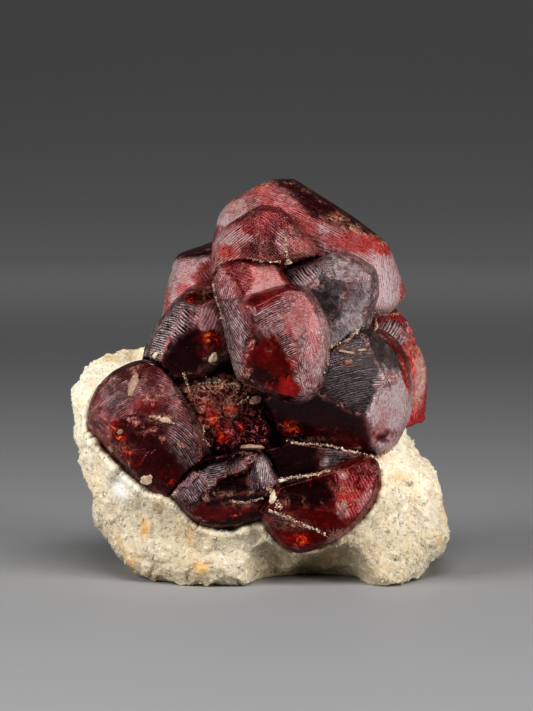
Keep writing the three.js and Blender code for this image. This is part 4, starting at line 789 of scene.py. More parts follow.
# ---------------------------------------------------------------- matrix
rock_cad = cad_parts["matrix_rock"]
rock = bpy.data.objects.new("matrix_body", rock_cad.data.copy())
bpy.context.scene.collection.objects.link(rock)
rock.data.materials.clear()
bpy.context.view_layer.objects.active = rock
md = rock.modifiers.new("remesh", "REMESH"); md.mode = "VOXEL"; md.voxel_size = 0.00045
dg = bpy.context.evaluated_depsgraph_get()
me2 = bpy.data.meshes.new_from_object(rock.evaluated_get(dg))
bpy.data.objects.remove(rock)
nv = len(me2.vertices)
RV = np.empty(nv * 3, np.float32); me2.vertices.foreach_get("co", RV); RV = RV.reshape(-1, 3).astype(float) * 1000
RN = np.empty(nv * 3, np.float32); me2.vertex_normals.foreach_get("vector", RN); RN = RN.reshape(-1, 3).astype(float)
RF = np.array([p.vertices[:] for p in me2.polygons])
bpy.data.meshes.remove(me2)
# smooth the marks of the coarse solid, then crumble it
edges = np.vstack([RF[:, [0, 1]], RF[:, [1, 2]], RF[:, [2, 3]], RF[:, [3, 0]]])
deg = np.zeros(nv); np.add.at(deg, edges[:, 0], 1); np.add.at(deg, edges[:, 1], 1)
low = RV[:, 2] < 0.4
for it in range(6):
    acc = np.zeros((nv, 3))
    for c in range(3):
        acc[:, c] = np.bincount(edges[:, 0], RV[edges[:, 1], c], nv) + np.bincount(edges[:, 1], RV[edges[:, 0], c], nv)
    new = acc / deg[:, None]
    RV = np.where(low[:, None], RV, 0.5 * RV + 0.5 * new)
# the foot spreads forward in two lobes
fw = smooth((15 - RV[:, 2]) / 15) * smooth((6 - RV[:, 1]) / 12)
fu, fv, _ = seen_at(RV)
RV[:, 1] -= fw * (4.5 + 4.0 * np.exp(-((fu - 212) / 48) ** 2) + 3.5 * np.exp(-((fu - 388) / 22) ** 2) - 2.0 * np.exp(-((fu - 315) / 28) ** 2))
RV = RV - UPC * (0.75 * smooth((152 - fu) / 20) * smooth((385 - fv) / 25) * smooth((fu - 75) / 25))[:, None]
f1, f2, cid = worley(RV + 0.8 * np.stack([noise(RV, 3, 50), noise(RV, 3, 51), noise(RV, 3, 52)], 1), 3.3, 60)
g1, g2, gid = worley(RV, 1.25, 66)
b1, b2, bid = worley(RV + 1.6 * np.stack([noise(RV, 5, 53), noise(RV, 5, 54), noise(RV, 5, 55)], 1), 8.0, 61)
k1, k2, kid = worley(RV, 0.85, 67)
h = 0.55 * fbm(RV, 6.0, 70, 3) + 1.3 * (bid - 0.45) * smooth((b2 - b1) * 2.0) - 0.45 * (1 - smooth((b2 - b1) * 2.6))
h += 0.55 * (cid - 0.5) * smooth((f2 - f1) * 2.4) - 0.22 * (1 - smooth((f2 - f1) * 3.0))
h += 0.42 * (gid - 0.45) * smooth((g2 - g1) * 2.6) + 0.22 * (kid - 0.5) * smooth((k2 - k1) * 3) + 0.12 * noise(RV, 0.6, 80)
face = np.exp(-((fu - 119) / 8) ** 2 - ((fv - 488) / 12) ** 2) * (RN @ TOW > 0)
h = np.clip(h, -1.1, 0.9) * (1 - np.clip(1.6 * face, 0, 1))
# the matrix comes up round the crystals it holds
hug = np.zeros(nv)
close_ = np.zeros(nv)
for o in ORDER:
    hug = np.maximum(hug, smooth(inside_depth(RV, o, 5.0) / 4.6))
    close_ = np.maximum(close_, smooth(inside_depth(RV, o, 1.7) / 1.5))
h = np.where(h < 0, h * (1 - 0.75 * close_), h) * (1 + 0.5 * close_)
RV = RV + RN * (1.25 * close_ * smooth((RV[:, 2] - 2) / 3))[:, None] + TOW * (2.6 * hug * smooth((RN @ TOW + 0.3) / 0.6) * (1 - np.clip(1.6 * face, 0, 1)) * smooth((RV[:, 2] - 3) / 4))[:, None]
under = smooth((RV[:, 2] - 0.1) / 1.2)
flatn = RN * np.array([1, 1, 0]) + RN * np.array([0, 0, 1]) * under[:, None]
RV = RV + flatn * h[:, None]
# the rim of the underside is broken and lifts off the ground here and there
foot = RV[RV[:, 2] < 1.0]
fc = foot.mean(0)
ang_ = np.arctan2(RV[:, 1] - fc[1], RV[:, 0] - fc[0])
bins = ((ang_ + math.pi) / (2 * math.pi) * 120).astype(int) % 120
fr_ = np.hypot(RV[:, 0] - fc[0], RV[:, 1] - fc[1])
lowest = RV[:, 2] < 1.2
rim = np.zeros(120)
np.maximum.at(rim, bins[lowest], fr_[lowest])
rim = np.where(rim < 1, np.median(rim), rim)
near_rim = smooth(1 - (rim[bins] - fr_) / 3.2)
lift = near_rim * np.clip(0.6 + 1.6 * noise(RV * np.array([1, 1, 0]), 4.2, 95) + 0.6 * noise(RV * np.array([1, 1, 0]), 1.5, 96), 0, 2.2)
RV[:, 2] = np.maximum(RV[:, 2], lift)
ru, rv, rw = seen_at(RV)
OCHRE = [(145, 528, 6, 7, 1.3), (200, 567, 7, 6, 1.25), (190, 534, 3, 11, 0.75), (111, 358, 6, 5, 0.7), (130, 562, 8, 11, 0.65), (400, 477, 12, 8, 0.6),
         (445, 510, 6, 10, 0.5), (94, 385, 5, 8, 0.35), (140, 355, 16, 4, 0.3), (96, 470, 4, 16, 0.25), (118, 540, 5, 8, 0.4), (152, 572, 8, 5, 0.35),
         (385, 455, 8, 5, 0.4), (330, 560, 9, 7, 0.35), (440, 540, 8, 6, 0.3)]
RUST = [(409, 484, 2.6, 2.2, 1.0), (404, 481, 2.0, 1.2, 0.6), (190, 523, 1.6, 1.6, 0.9), (192, 530, 1.2, 2.0, 0.5)]
# a whiter flat face of the matrix, with a painted highlight on it: layout place, spread, strength
WHITE_FACE_HIGHLIGHT = [(119, 488, 8, 13, 1.0), (116, 478, 5, 6, 0.8)]
front_only = smooth((RN @ TOW + 0.35) / 0.5)
ochre = np.zeros(nv); rust = np.zeros(nv); white_face_highlight = np.zeros(nv)
for (su, sv, a, b, st) in OCHRE:
    ochre = np.maximum(ochre, st * np.exp(-((ru - su) / a) ** 2 - ((rv - sv) / b) ** 2) * front_only)
for (su, sv, a, b, st) in RUST:
    rust = np.maximum(rust, st * np.exp(-((ru - su) / a) ** 2 - ((rv - sv) / b) ** 2) * front_only)
for (su, sv, a, b, st) in WHITE_FACE_HIGHLIGHT:
    white_face_highlight = np.maximum(white_face_highlight, st * np.exp(-((ru - su) / a) ** 2 - ((rv - sv) / b) ** 2) * front_only)
ochre = np.maximum(ochre, 0.5 * smooth((noise(RV, 9.0, 90) + 0.6 * noise(RV, 3.0, 91) - 0.55) * 2.5) * (1 - front_only * 0.75))
rock = new_mesh("matrix_body", RV, RF, dict(ochre=ochre, rust=rust, white_face_highlight=white_face_highlight, tone=gid))
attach(rock, "root"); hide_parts("matrix_rock")
rock_tree = tree_of([rock])


# ---------------------------------------------------------------- sugar grains and crusts: small angular crystals
CUBE = np.array([[x, y, z] for x in (-1, 1) for y in (-1, 1) for z in (-1, 1)], float)
CUBE_F = np.array([[0, 1, 3], [0, 3, 2], [4, 6, 7], [4, 7, 5], [0, 4, 5], [0, 5, 1], [2, 3, 7], [2, 7, 6], [0, 2, 6], [0, 6, 4], [1, 5, 7], [1, 7, 3]])


def rand_rot(r, n):
    q = r.normal(size=(n, 4)); q /= np.linalg.norm(q, axis=1)[:, None]
    w, x, y, z = q.T
    return np.stack([np.stack([1 - 2 * (y * y + z * z), 2 * (x * y - z * w), 2 * (x * z + y * w)], 1),
                     np.stack([2 * (x * y + z * w), 1 - 2 * (x * x + z * z), 2 * (y * z - x * w)], 1),
                     np.stack([2 * (x * z - y * w), 2 * (y * z + x * w), 1 - 2 * (x * x + y * y)], 1)], 1)


def grains(name, P, size, r, mat_slot, flat=None):
    """One mesh of small angular grains at the given points."""
    n = len(P)
    R = rand_rot(r, n)
    sh = CUBE[None] * (0.75 + 0.5 * r.rand(n, 8, 1)) * (0.7 + 0.6 * r.rand(n, 1, 3))
    V = np.einsum("nij,nkj->nki", R, sh) * (np.asarray(size)[:, None, None] * 0.5)
    if flat is not None:
        nn, sq = flat
        V = V - nn[:, None, :] * ((V * nn[:, None, :]).sum(2) * (1 - sq))[:, :, None]
    V = V + P[:, None, :]
    F = CUBE_F[None] + (np.arange(n) * 8)[:, None, None]
    tone = np.repeat(r.rand(n), 8)
    return new_mesh(name, V.reshape(-1, 3), F.reshape(-1, 3), dict(tone=tone), smooth_shade=False)


def surface_points(V, F, n, r, keep):
    tri = np.vstack([F[:, [0, 1, 2]], F[:, [0, 2, 3]]]) if F.shape[1] == 4 else F
    a, b, c = V[tri[:, 0]], V[tri[:, 1]], V[tri[:, 2]]
    cr = np.cross(b - a, c - a); ar = np.linalg.norm(cr, axis=1) / 2
    nn = cr / np.maximum(2 * ar[:, None], 1e-12)
    ar = ar * keep((a + b + c) / 3, nn)
    pick = np.searchsorted(np.cumsum(ar) / ar.sum(), r.rand(n))
    s, t = r.rand(n), r.rand(n)
    fl = s + t > 1; s[fl], t[fl] = 1 - s[fl], 1 - t[fl]
    return a[pick] + (b - a)[pick] * s[:, None] + (c - a)[pick] * t[:, None], nn[pick]


def keep_rock(C, nn):
    k = np.ones(len(C))
    cu, cv, _ = seen_at(C)
    k *= ((cu - 119) / 9) ** 2 + ((cv - 488) / 13) ** 2 > 1
    for o in ORDER:
        k *= inside_depth(C, o, 0.5) < 0
    return k * (C[:, 2] > 0.9)


r1 = np.random.RandomState(11)
NG = 11000
GP, GN = surface_points(RV, RF, NG, r1, keep_rock)
gs = 0.24 + 0.34 * r1.rand(NG) ** 2
g = grains("matrix_grains", GP - GN * (gs * 0.40)[:, None], gs, r1, "matrix_rock")
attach(g, "root")
grain_obs = [g]

# lines of pale crust between the crystals: layout line, width, grain size mm
SEAMS = [
    ([(331, 347), (338, 343), (348, 340), (355, 333), (361, 327)], 1.3, 0.42),
    ([(246, 259), (262, 261), (275, 262), (290, 262)], 1.2, 0.36),
    ([(285, 237), (286, 248), (288, 262)], 1.1, 0.34),
    ([(213, 282), (214, 292), (218, 304), (222, 318)], 1.2, 0.36),
    ([(287, 441), (303, 444), (325, 445), (345, 450), (358, 453), (374, 457), (381, 457)], 1.2, 0.40),
    ([(281, 478), (300, 477), (318, 474), (329, 470)], 1.4, 0.42),
    ([(268, 487), (274, 496), (277, 506), (283, 508)], 2.6, 0.52),
    ([(230, 501), (245, 503), (263, 498)], 1.1, 0.34),
    ([(268, 510), (284, 516), (300, 523), (316, 530), (326, 534)], 1.6, 0.42),
    ([(372, 308), (375, 320), (376, 332)], 1.2, 0.40),
    ([(375, 311), (385, 315), (397, 314), (401, 311)], 1.2, 0.36),
    ([(328, 356), (328, 366), (325, 374)], 1.2, 0.42),
    ([(198, 386), (210, 379), (224, 383), (238, 390)], 3.2, 0.40),
    ([(150, 416), (162, 419), (176, 424)], 1.6, 0.40),
    ([(380, 456), (390, 452), (398, 447)], 2.0, 0.46),
    ([(150, 352), (156, 356), (163, 352)], 1.6, 0.42),
    ([(176, 492), (170, 497), (172, 502)], 1.0, 0.36),
    ([(240, 404), (248, 398), (256, 400)], 2.0, 0.40),
    ([(204, 425), (203, 438), (210, 446)], 1.0, 0.30),
    ([(183, 372), (186, 381), (190, 392)], 1.2, 0.34),
]
r2 = np.random.RandomState(21)
SP, SN, SZ = [], [], []
for line, width, size in SEAMS:
    for (p, q) in zip(line[:-1], line[1:]):
        L = math.hypot(q[0] - p[0], q[1] - p[1])
        n = max(2, int(L * 3.4))
        for i in range(n):
            t = (i + r2.rand()) / n
            u = p[0] + (q[0] - p[0]) * t + r2.normal() * width * 0.55
            v = p[1] + (q[1] - p[1]) * t + r2.normal() * width * 0.55
            if noise(np.array([[u * S, v * S, 0]]), 1.1, 33)[0] + 0.5 * r2.rand() < 0.0:
                continue
            bestp = None
            for du, dv in ((0, 0), (2.0, 0), (-2.0, 0), (0, 2.0), (0, -2.0)):
                loc, nr = drop_on(garnet_tree, u + du, v + dv)
                if loc is not None:
                    w = (loc - TARGET) @ TOW
                    if bestp is None or w > bestp[0]:
                        bestp = (w, nr)
            if bestp is None:
                continue
            SP.append(layout_point(u, v, bestp[0] - 0.12)); SN.append(TOW); SZ.append(size * (0.26 + 0.48 * r2.rand() ** 1.4))
SP, SN, SZ = np.array(SP), np.array(SN), np.array(SZ)
crust = grains("seam_crust", SP, SZ, r2, "matrix_rock", flat=(SN, 0.6))
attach(crust, "root")
grain_obs.append(crust)

# broken bits of matrix on the crystals: layout place, length and width in layout steps, angle, thickness mm, tone
FLAKES = [
    (133, 385, 21, 10, 78, 0.42, 0.35), (146, 480, 13, 9, 12, 0.45, 0.62), (150, 477, 6, 5, 50, 0.35, 0.5),
    (252, 447, 24, 6, -42, 0.45, 0.38), (288, 262, 7, 6, 0, 0.45, 0.75), (213, 358, 11, 7, 60, 0.30, 0.75),
    (343, 507, 14, 8, 84, 0.22, 0.22), (273, 497, 13, 8, 110, 0.45, 0.8), (156, 355, 8, 5, 30, 0.45, 0.9),
    (348, 362, 9, 5, 20, 0.25, 0.15), (120, 432, 8, 5, 40, 0.35, 0.3), (111, 449, 7, 5, 0, 0.3, 0.35),
    (376, 326, 9, 4, 90, 0.4, 0.85), (170, 498, 7, 4, 80, 0.35, 0.55), (189, 523, 6, 3, 60, 0.35, 0.3),
    (165, 420, 12, 5, -10, 0.3, 0.6), (236, 385, 9, 5, -30, 0.35, 0.5), (255, 400, 12, 8, 20, 0.3, 0.3),
    (346, 352, 14, 3, -12, 0.2, 0.5), (362, 350, 9, 2.5, 8, 0.2, 0.5),
]
ICO_V, ICO_F = None, None
def flake(name, u, v, a, b, ang, thick, seed):
    """A broken bit of matrix left on a crystal face: a low lump with a ragged outline."""
    global ICO_V, ICO_F
    loc, nr = drop_on(garnet_tree, u, v)
    if loc is None:
        return None
    if ICO_V is None:
        bm = bmesh.new(); bmesh.ops.create_icosphere(bm, subdivisions=4, radius=1.0)
        ICO_V = np.array([q.co[:] for q in bm.verts]); ICO_F = np.array([[q.index for q in f.verts] for f in bm.faces]); bm.free()
    t = RIGHT * math.cos(math.radians(ang)) + UPC * math.sin(math.radians(ang))
    t = t - nr * (nr @ t); t /= np.linalg.norm(t)
    g_ = np.cross(nr, t)
    V = ICO_V.copy()
    ragged = 1 + 0.28 * noise(V * 3, 1.4, seed) + 0.16 * noise(V * 3, 0.6, seed + 1)
    V = V * ragged[:, None]
    V[:, 2] = np.sign(V[:, 2]) * np.abs(V[:, 2]) ** 0.6
    V = loc + t * (V[:, 0] * a * S / 2)[:, None] + g_ * (V[:, 1] * b * S / 2)[:, None] + nr * (V[:, 2] * thick)[:, None]
    V = V + nr * (0.10 * noise(V, 0.7, seed + 3) + 0.05 * noise(V, 0.3, seed + 4))[:, None]
    return V, ICO_F


FV, FF, FT, base = [], [], [], 0
for i, (u, v, a, b, ang, th, tone) in enumerate(FLAKES):
    res = flake("f", u, v, a, b, ang, th, 100 + i * 5)
    if res is None:
        continue
    FV.append(res[0]); FF.append(res[1] + base); FT.append(np.full(len(res[0]), tone)); base += len(res[0])
flakes = new_mesh("matrix_flakes", np.vstack(FV), np.vstack(FF), dict(tone=np.concatenate(FT)))
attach(flakes, "root")

# ---------------------------------------------------------------- materials
class Nodes:
    """Short helpers for node trees."""
    def __init__(self, name):
        self.mat = bpy.data.materials.new(name)
        self.mat.use_nodes = True
        self.t = self.mat.node_tree
        self.t.nodes.clear()
        self.out = self.t.nodes.new("ShaderNodeOutputMaterial")
        self.x = -200

    def n(self, kind, **kw):
        nd = self.t.nodes.new(kind)
        for a, b in kw.items():
            setattr(nd, a, b)
        return nd

    def link(self, a, b):
        self.t.links.new(a, b)

    def put(self, sock, val):
        if hasattr(val, "is_linked") or isinstance(val, bpy.types.NodeSocket):
            self.link(val, sock)
        elif val is not None:
            sock.default_value = val

    def attr(self, name):
        nd = self.n("ShaderNodeAttribute", attribute_name=name)
        return nd.outputs["Fac"]

    def coords(self):
        return self.n("ShaderNodeTexCoord").outputs["Object"]

    def noise(self, vec, scale, detail=3.0, rough=0.55, dist=0.0):
        nd = self.n("ShaderNodeTexNoise")
        self.put(nd.inputs["Vector"], vec)
        nd.inputs["Scale"].default_value = scale
        nd.inputs["Detail"].default_value = detail
        nd.inputs["Roughness"].default_value = rough
        nd.inputs["Distortion"].default_value = dist
        return nd.outputs["Fac"]

    def voro(self, vec, scale, feature="F1", out="Distance", rand=1.0):
        nd = self.n("ShaderNodeTexVoronoi", feature=feature)
        self.put(nd.inputs["Vector"], vec)
        nd.inputs["Scale"].default_value = scale
        if "Randomness" in nd.inputs:
            nd.inputs["Randomness"].default_value = rand
        return nd.outputs[out]

    def m(self, op, a, b=None, c=None, clamp=False):
        nd = self.n("ShaderNodeMath", operation=op, use_clamp=clamp)
        self.put(nd.inputs[0], a)
        if b is not None:
            self.put(nd.inputs[1], b)
        if c is not None:
            self.put(nd.inputs[2], c)
        return nd.outputs[0]

    def rng(self, v, a, b, c=0.0, d=1.0, smooth=True):
        nd = self.n("ShaderNodeMapRange", interpolation_type="SMOOTHSTEP" if smooth else "LINEAR")
        self.put(nd.inputs["Value"], v)
        nd.inputs["From Min"].default_value = a; nd.inputs["From Max"].default_value = b
        nd.inputs["To Min"].default_value = c; nd.inputs["To Max"].default_value = d
        return nd.outputs["Result"]

    def ramp(self, v, stops):
        nd = self.n("ShaderNodeValToRGB")
        self.put(nd.inputs["Fac"], v)
        el = nd.color_ramp.elements
        while len(el) > len(stops):
            el.remove(el[-1])
        while len(el) < len(stops):
            el.new(0.5)
        for e, (p, c) in zip(el, stops):
            e.position = p; e.color = (*c, 1)
        return nd.outputs["Color"]

    def mix(self, f, a, b, mode="MIX"):
        nd = self.n("ShaderNodeMix", data_type="RGBA", blend_type=mode)
        nd.clamp_factor = True
        self.put(nd.inputs[0], f)
        for s, v in ((nd.inputs[6], a), (nd.inputs[7], b)):
            if isinstance(v, tuple):
                s.default_value = (*v, 1)
            else:
                self.link(v, s)
        return nd.outputs[2]

    def bump(self, h, dist, strength=1.0, normal=None):
        nd = self.n("ShaderNodeBump")
        nd.inputs["Strength"].default_value = strength
        nd.inputs["Distance"].default_value = dist
        self.put(nd.inputs["Height"], h)
        if normal is not None:
            self.link(normal, nd.inputs["Normal"])
        return nd.outputs["Normal"]


def garnet_material(name, lift=0.0, warm=0.0, rough_add=0.0, seed=0.0, fine=1.0, transmission=0.25, sheen=(1.0, 0.44, 0.46)):
    N = Nodes(name)
    pos = N.coords()
    mp = N.n("ShaderNodeMapping"); N.link(pos, mp.inputs["Vector"]); mp.inputs["Location"].default_value = (seed, seed * 0.7, -seed)
    p = mp.outputs["Vector"]
    frost_and_painted_sheen, grow, along, edge, painted_glint, deep_and_painted_light, chip, amp, flaw, pink = [N.attr(a) for a in ("frost_and_painted_sheen", "grow", "along", "edge", "painted_glint", "deep_and_painted_light", "chip", "amp", "flaw", "pink")]
    broad = N.noise(p, 150, 3, 0.55)
    med = N.noise(p, 520, 4, 0.6)
    fine_n = N.noise(p, 2400, 3, 0.6)
    crack = N.voro(p, 420, "DISTANCE_TO_EDGE")
    # growth lines: a rhythm across the face, broken up along it
    cx = N.n("ShaderNodeCombineXYZ")
    N.link(N.m("MULTIPLY", grow, 1.0), cx.inputs[0]); N.link(N.m("MULTIPLY", along, 0.16), cx.inputs[1]); cx.inputs[2].default_value = seed * 300
    brush = N.noise(cx.outputs[0], 2.7, 4, 0.64)
    wob = N.noise(p, 330, 2, 0.5)
    ph = N.m("ADD", N.m("MULTIPLY", grow, 6.2832 / 0.46), N.m("MULTIPLY", N.m("ADD", brush, wob), 9.0))
    line = N.m("SINE", ph)
    line01 = N.m("MULTIPLY_ADD", line, 0.5, 0.5)
    strie = N.m("ADD", N.m("MULTIPLY", line01, 0.30), N.m("MULTIPLY", brush, 0.76))
    inner = N.m("SUBTRACT", 1.0, edge)
    # body colour: depth of red, with the painted red glow and painted shade of each face
    stir = N.m("ADD", N.m("MULTIPLY", N.m("SUBTRACT", broad, 0.5), 1.0), N.m("MULTIPLY", N.m("SUBTRACT", med, 0.5), 0.75))
    tone = N.m("ADD", deep_and_painted_light, N.m("MULTIPLY", stir, N.m("SUBTRACT", 1.16, deep_and_painted_light)))
    tone = N.m("SUBTRACT", tone, lift, clamp=True)
    red = N.ramp(tone, [(0.0, (0.36, 0.020, 0.020)), (0.30, (0.15, 0.0030, 0.0040)), (0.60, (0.036, 0.0006, 0.0010)), (0.85, (0.0075, 0.0003, 0.0006)), (1.0, (0.0030, 0.0005, 0.0007))])
    # painted warm glints where light comes back out of the crystal
    spots = N.rng(N.noise(p, 900, 4, 0.7, 1.0), 0.42, 0.66)
    heat = N.m("MULTIPLY", painted_glint, N.m("ADD", N.m("MULTIPLY", spots, 1.0), 0.12), clamp=True)
    if warm:
        heat = N.m("MAXIMUM", heat, N.m("MULTIPLY", N.rng(N.noise(p, 640, 4, 0.7, 1.5), 0.56, 0.74), warm))
    warmc = N.ramp(heat, [(0.0, (0.20, 0.004, 0.004)), (0.45, (0.48, 0.022, 0.010)), (0.75, (0.80, 0.15, 0.03)), (1.0, (0.92, 0.45, 0.14))])
    col = N.mix(N.rng(heat, 0.05, 0.5), red, warmc)
    # painted sheen: pale reflected light on the striated faces, laid into the base colour
    painted_sheen = N.m("MULTIPLY", frost_and_painted_sheen, N.rng(broad, 0.25, 0.65, 0.55, 1.10))
    mott = N.rng(N.noise(p, 760, 4, 0.68, 0.8), 0.40, 0.60, 0.45, 1.20)
    painted_sheen = N.m("MULTIPLY", painted_sheen, N.mix(N.m("POWER", frost_and_painted_sheen, 6.0, clamp=True), mott, (1.05, 1.05, 1.05)))
    spread = N.m("MULTIPLY", N.m("MULTIPLY_ADD", amp, 0.90, 0.04), N.rng(N.noise(p, 260, 3, 0.55), 0.35, 0.62, 0.35, 1.25))
    lit = N.m("ADD", 0.5, N.m("MULTIPLY", N.m("SUBTRACT", strie, 0.52), N.m("MULTIPLY", spread, 3.2)))
    lit = N.m("ADD", lit, N.m("MULTIPLY", N.m("SUBTRACT", fine_n, 0.5), 1.1))
    painted_sheen = N.m("MULTIPLY", painted_sheen, N.m("MULTIPLY_ADD", lit, 1.55, 0.08, clamp=False), clamp=True)
    lilac = N.mix(N.m("ADD", pink, N.m("MULTIPLY", N.m("SUBTRACT", N.noise(p, 210, 2, 0.5, 0.5), 0.5), 0.9), clamp=True), (0.55, 0.468, 0.47), (0.52, 0.20, 0.19))
    col = N.mix(painted_sheen, col, lilac)
    # painted warm glints again, over the painted sheen
    col = N.mix(N.m("MULTIPLY", N.rng(heat, 0.40, 0.80), 0.85), col, warmc)
    # flecks: dark pits and small bright breaks all over the skin
    pits = N.rng(N.noise(p, 1700, 3, 0.7), 0.44, 0.30)
    col = N.mix(N.m("MULTIPLY", pits, 0.62), col, (0.035, 0.002, 0.003))
    brk = N.m("MULTIPLY", N.rng(N.noise(p, 2300, 3, 0.7, 0.6), 0.60, 0.70), N.m("MULTIPLY_ADD", frost_and_painted_sheen, 0.5, 0.10))
    col = N.mix(brk, col, (0.66, 0.42, 0.38))
    # edges: thinner, with a painted glow of light through them, and chipped
    edge_glow = N.m("MULTIPLY", edge, N.rng(N.noise(p, 700, 3, 0.6), 0.42, 0.70))
    col = N.mix(N.m("MULTIPLY", edge_glow, 0.40), col, (0.46, 0.13, 0.115))
    chips = N.m("MULTIPLY", chip, N.rng(fine_n, 0.40, 0.62))
    col = N.mix(N.m("MULTIPLY", chips, 0.75), col, (0.62, 0.34, 0.28))
    # pale healed cracks and bits of matrix in the skin
    vein = N.m("SUBTRACT", 1.0, N.rng(crack, 0.0, 0.075), clamp=True)
    patchy = N.rng(N.noise(p, 1100, 4, 0.7, 1.2), 0.46, 0.62)
    fl = N.m("MULTIPLY", flaw, N.m("MAXIMUM", patchy, N.m("MULTIPLY", vein, 0.8)), clamp=True)
    flc = N.mix(N.noise(p, 1500, 2, 0.5), (0.70, 0.24, 0.14), (0.80, 0.66, 0.48))
    col = N.mix(N.m("MULTIPLY", fl, 0.92), col, flc)
    rough = N.m("ADD", N.m("MULTIPLY_ADD", painted_sheen, 0.26, 0.09 + rough_add), N.m("MULTIPLY", fl, 0.3))
    rough = N.m("ADD", rough, N.m("MULTIPLY", N.m("SUBTRACT", med, 0.5), 0.12), clamp=True)
    hgt = N.m("MULTIPLY", strie, N.m("MULTIPLY", inner, N.m("MULTIPLY_ADD", amp, 0.95, 0.05)))
    hgt = N.m("ADD", hgt, N.m("MULTIPLY", fine_n, 0.30 * fine))
    hgt = N.m("ADD", hgt, N.m("MULTIPLY", fl, 0.6))
    bs = N.n("ShaderNodeBsdfPrincipled")
    N.link(col, bs.inputs["Base Color"]); N.link(rough, bs.inputs["Roughness"])
    N.link(N.bump(hgt, 0.00020, 0.95), bs.inputs["Normal"])
    bs.inputs["IOR"].default_value = 1.74
    bs.inputs["Specular IOR Level"].default_value = 0.25
    bs.inputs["Specular Tint"].default_value = (*sheen, 1)
    bs.inputs["Transmission Weight"].default_value = transmission
    N.link(bs.outputs[0], N.out.inputs["Surface"])
    va = N.n("ShaderNodeVolumeAbsorption")
    va.inputs["Color"].default_value = (0.78, 0.06, 0.05, 1)
    va.inputs["Density"].default_value = 700.0
    N.link(va.outputs[0], N.out.inputs["Volume"])
    return N.mat


def rock_material(name, loose=False):
    N = Nodes(name)
    p = N.coords()
    broad = N.noise(p, 110, 3, 0.5)
    med = N.noise(p, 420, 4, 0.6)
    fine_n = N.noise(p, 1500, 4, 0.65)
    cells = N.n("ShaderNodeTexVoronoi"); N.link(p, cells.inputs["Vector"]); cells.inputs["Scale"].default_value = 1150
    tone = N.attr("tone")
    col = N.mix(N.rng(broad, 0.35, 0.65), (0.93, 0.845, 0.68), (0.92, 0.79, 0.58))
    col = N.mix(N.m("MULTIPLY", N.rng(med, 0.50, 0.72), 0.45), col, (0.86, 0.79, 0.66))
    col = N.mix(N.m("MULTIPLY", N.rng(med, 0.46, 0.28), 0.22), col, (0.76, 0.62, 0.42))
    col = N.mix(N.m("MULTIPLY", N.rng(cells.outputs["Distance"], 0.30, 0.75), 0.12), col, (0.72, 0.58, 0.40))
    col = N.mix(N.m("MULTIPLY", N.rng(tone, 0.60, 1.0), 0.16), col, (0.88, 0.84, 0.74))
    col = N.mix(N.m("MULTIPLY", N.rng(tone, 0.35, 0.0), 0.14), col, (0.66, 0.54, 0.37))
    speck = N.voro(p, 620)
    spk = N.m("MULTIPLY", N.rng(speck, 0.10, 0.045), N.rng(N.noise(p, 260, 2, 0.5), 0.64, 0.72))
    col = N.mix(N.m("MULTIPLY", spk, 0.85), col, (0.16, 0.09, 0.05))
    # painted shade: the colour is darker towards the foot than on the shoulders
    sep = N.n("ShaderNodeSeparateXYZ"); N.link(p, sep.inputs[0])
    low = N.rng(sep.outputs[2], 0.026, 0.004)
    col = N.mix(low, col, N.mix(1.0, col, (0.61, 0.59, 0.545), "MULTIPLY"))
    if not loose:
        oc = N.m("MULTIPLY", N.attr("ochre"), N.rng(fine_n, 0.35, 0.65, 0.45, 1.1), clamp=True)
        col = N.mix(N.m("MULTIPLY", oc, 1.0, clamp=True), col, (0.72, 0.36, 0.06))
        col = N.mix(N.attr("rust"), col, (0.13, 0.035, 0.02))
        # a whiter, glossier flat face, with a painted highlight
        wh_highlight = N.attr("white_face_highlight")
        col = N.mix(N.m("MULTIPLY", wh_highlight, 0.9), col, (0.95, 0.95, 0.95))
        rough = N.m("SUBTRACT", N.m("MULTIPLY_ADD", fine_n, 0.30, 0.36), N.m("MULTIPLY", wh_highlight, 0.30), clamp=True)
    else:
        rough = N.m("MULTIPLY_ADD", fine_n, 0.30, 0.28)
    # painted glitter as pale flecks on the grains, and tan flecks of the grains' own tone
    ca = N.n("ShaderNodeTexVoronoi", distance="MANHATTAN"); N.link(p, ca.inputs["Vector"]); ca.inputs["Scale"].default_value = 1500
    cb = N.n("ShaderNodeTexVoronoi", distance="CHEBYCHEV"); N.link(p, cb.inputs["Vector"]); cb.inputs["Scale"].default_value = 2600
    painted_glitter_and_tan = N.n("ShaderNodeSeparateColor"); N.link(ca.outputs["Color"], painted_glitter_and_tan.inputs[0])
    col = N.mix(N.m("MULTIPLY", N.rng(painted_glitter_and_tan.outputs[0], 0.72, 1.0), 0.30), col, (0.93, 0.90, 0.82))
    col = N.mix(N.m("MULTIPLY", N.rng(painted_glitter_and_tan.outputs[1], 0.70, 1.0), 0.25), col, (0.74, 0.60, 0.40))
    hgt = N.m("ADD", N.m("MULTIPLY", ca.outputs["Distance"], -1.3), N.m("MULTIPLY", cb.outputs["Distance"], -0.9))
    hgt = N.m("ADD", hgt, N.m("MULTIPLY", fine_n, 0.8))
    bs = N.n("ShaderNodeBsdfPrincipled")
    N.link(col, bs.inputs["Base Color"]); N.link(rough, bs.inputs["Roughness"])
    N.link(N.bump(hgt, 0.00010, 0.75), bs.inputs["Normal"])
    bs.inputs["IOR"].default_value = 1.52
    bs.inputs["Subsurface Weight"].default_value = 0.38
    bs.inputs["Subsurface Radius"].default_value = (1.0, 0.85, 0.6)
    bs.inputs["Subsurface Scale"].default_value = 0.0018
    N.link(bs.outputs[0], N.out.inputs["Surface"])
    return N.mat


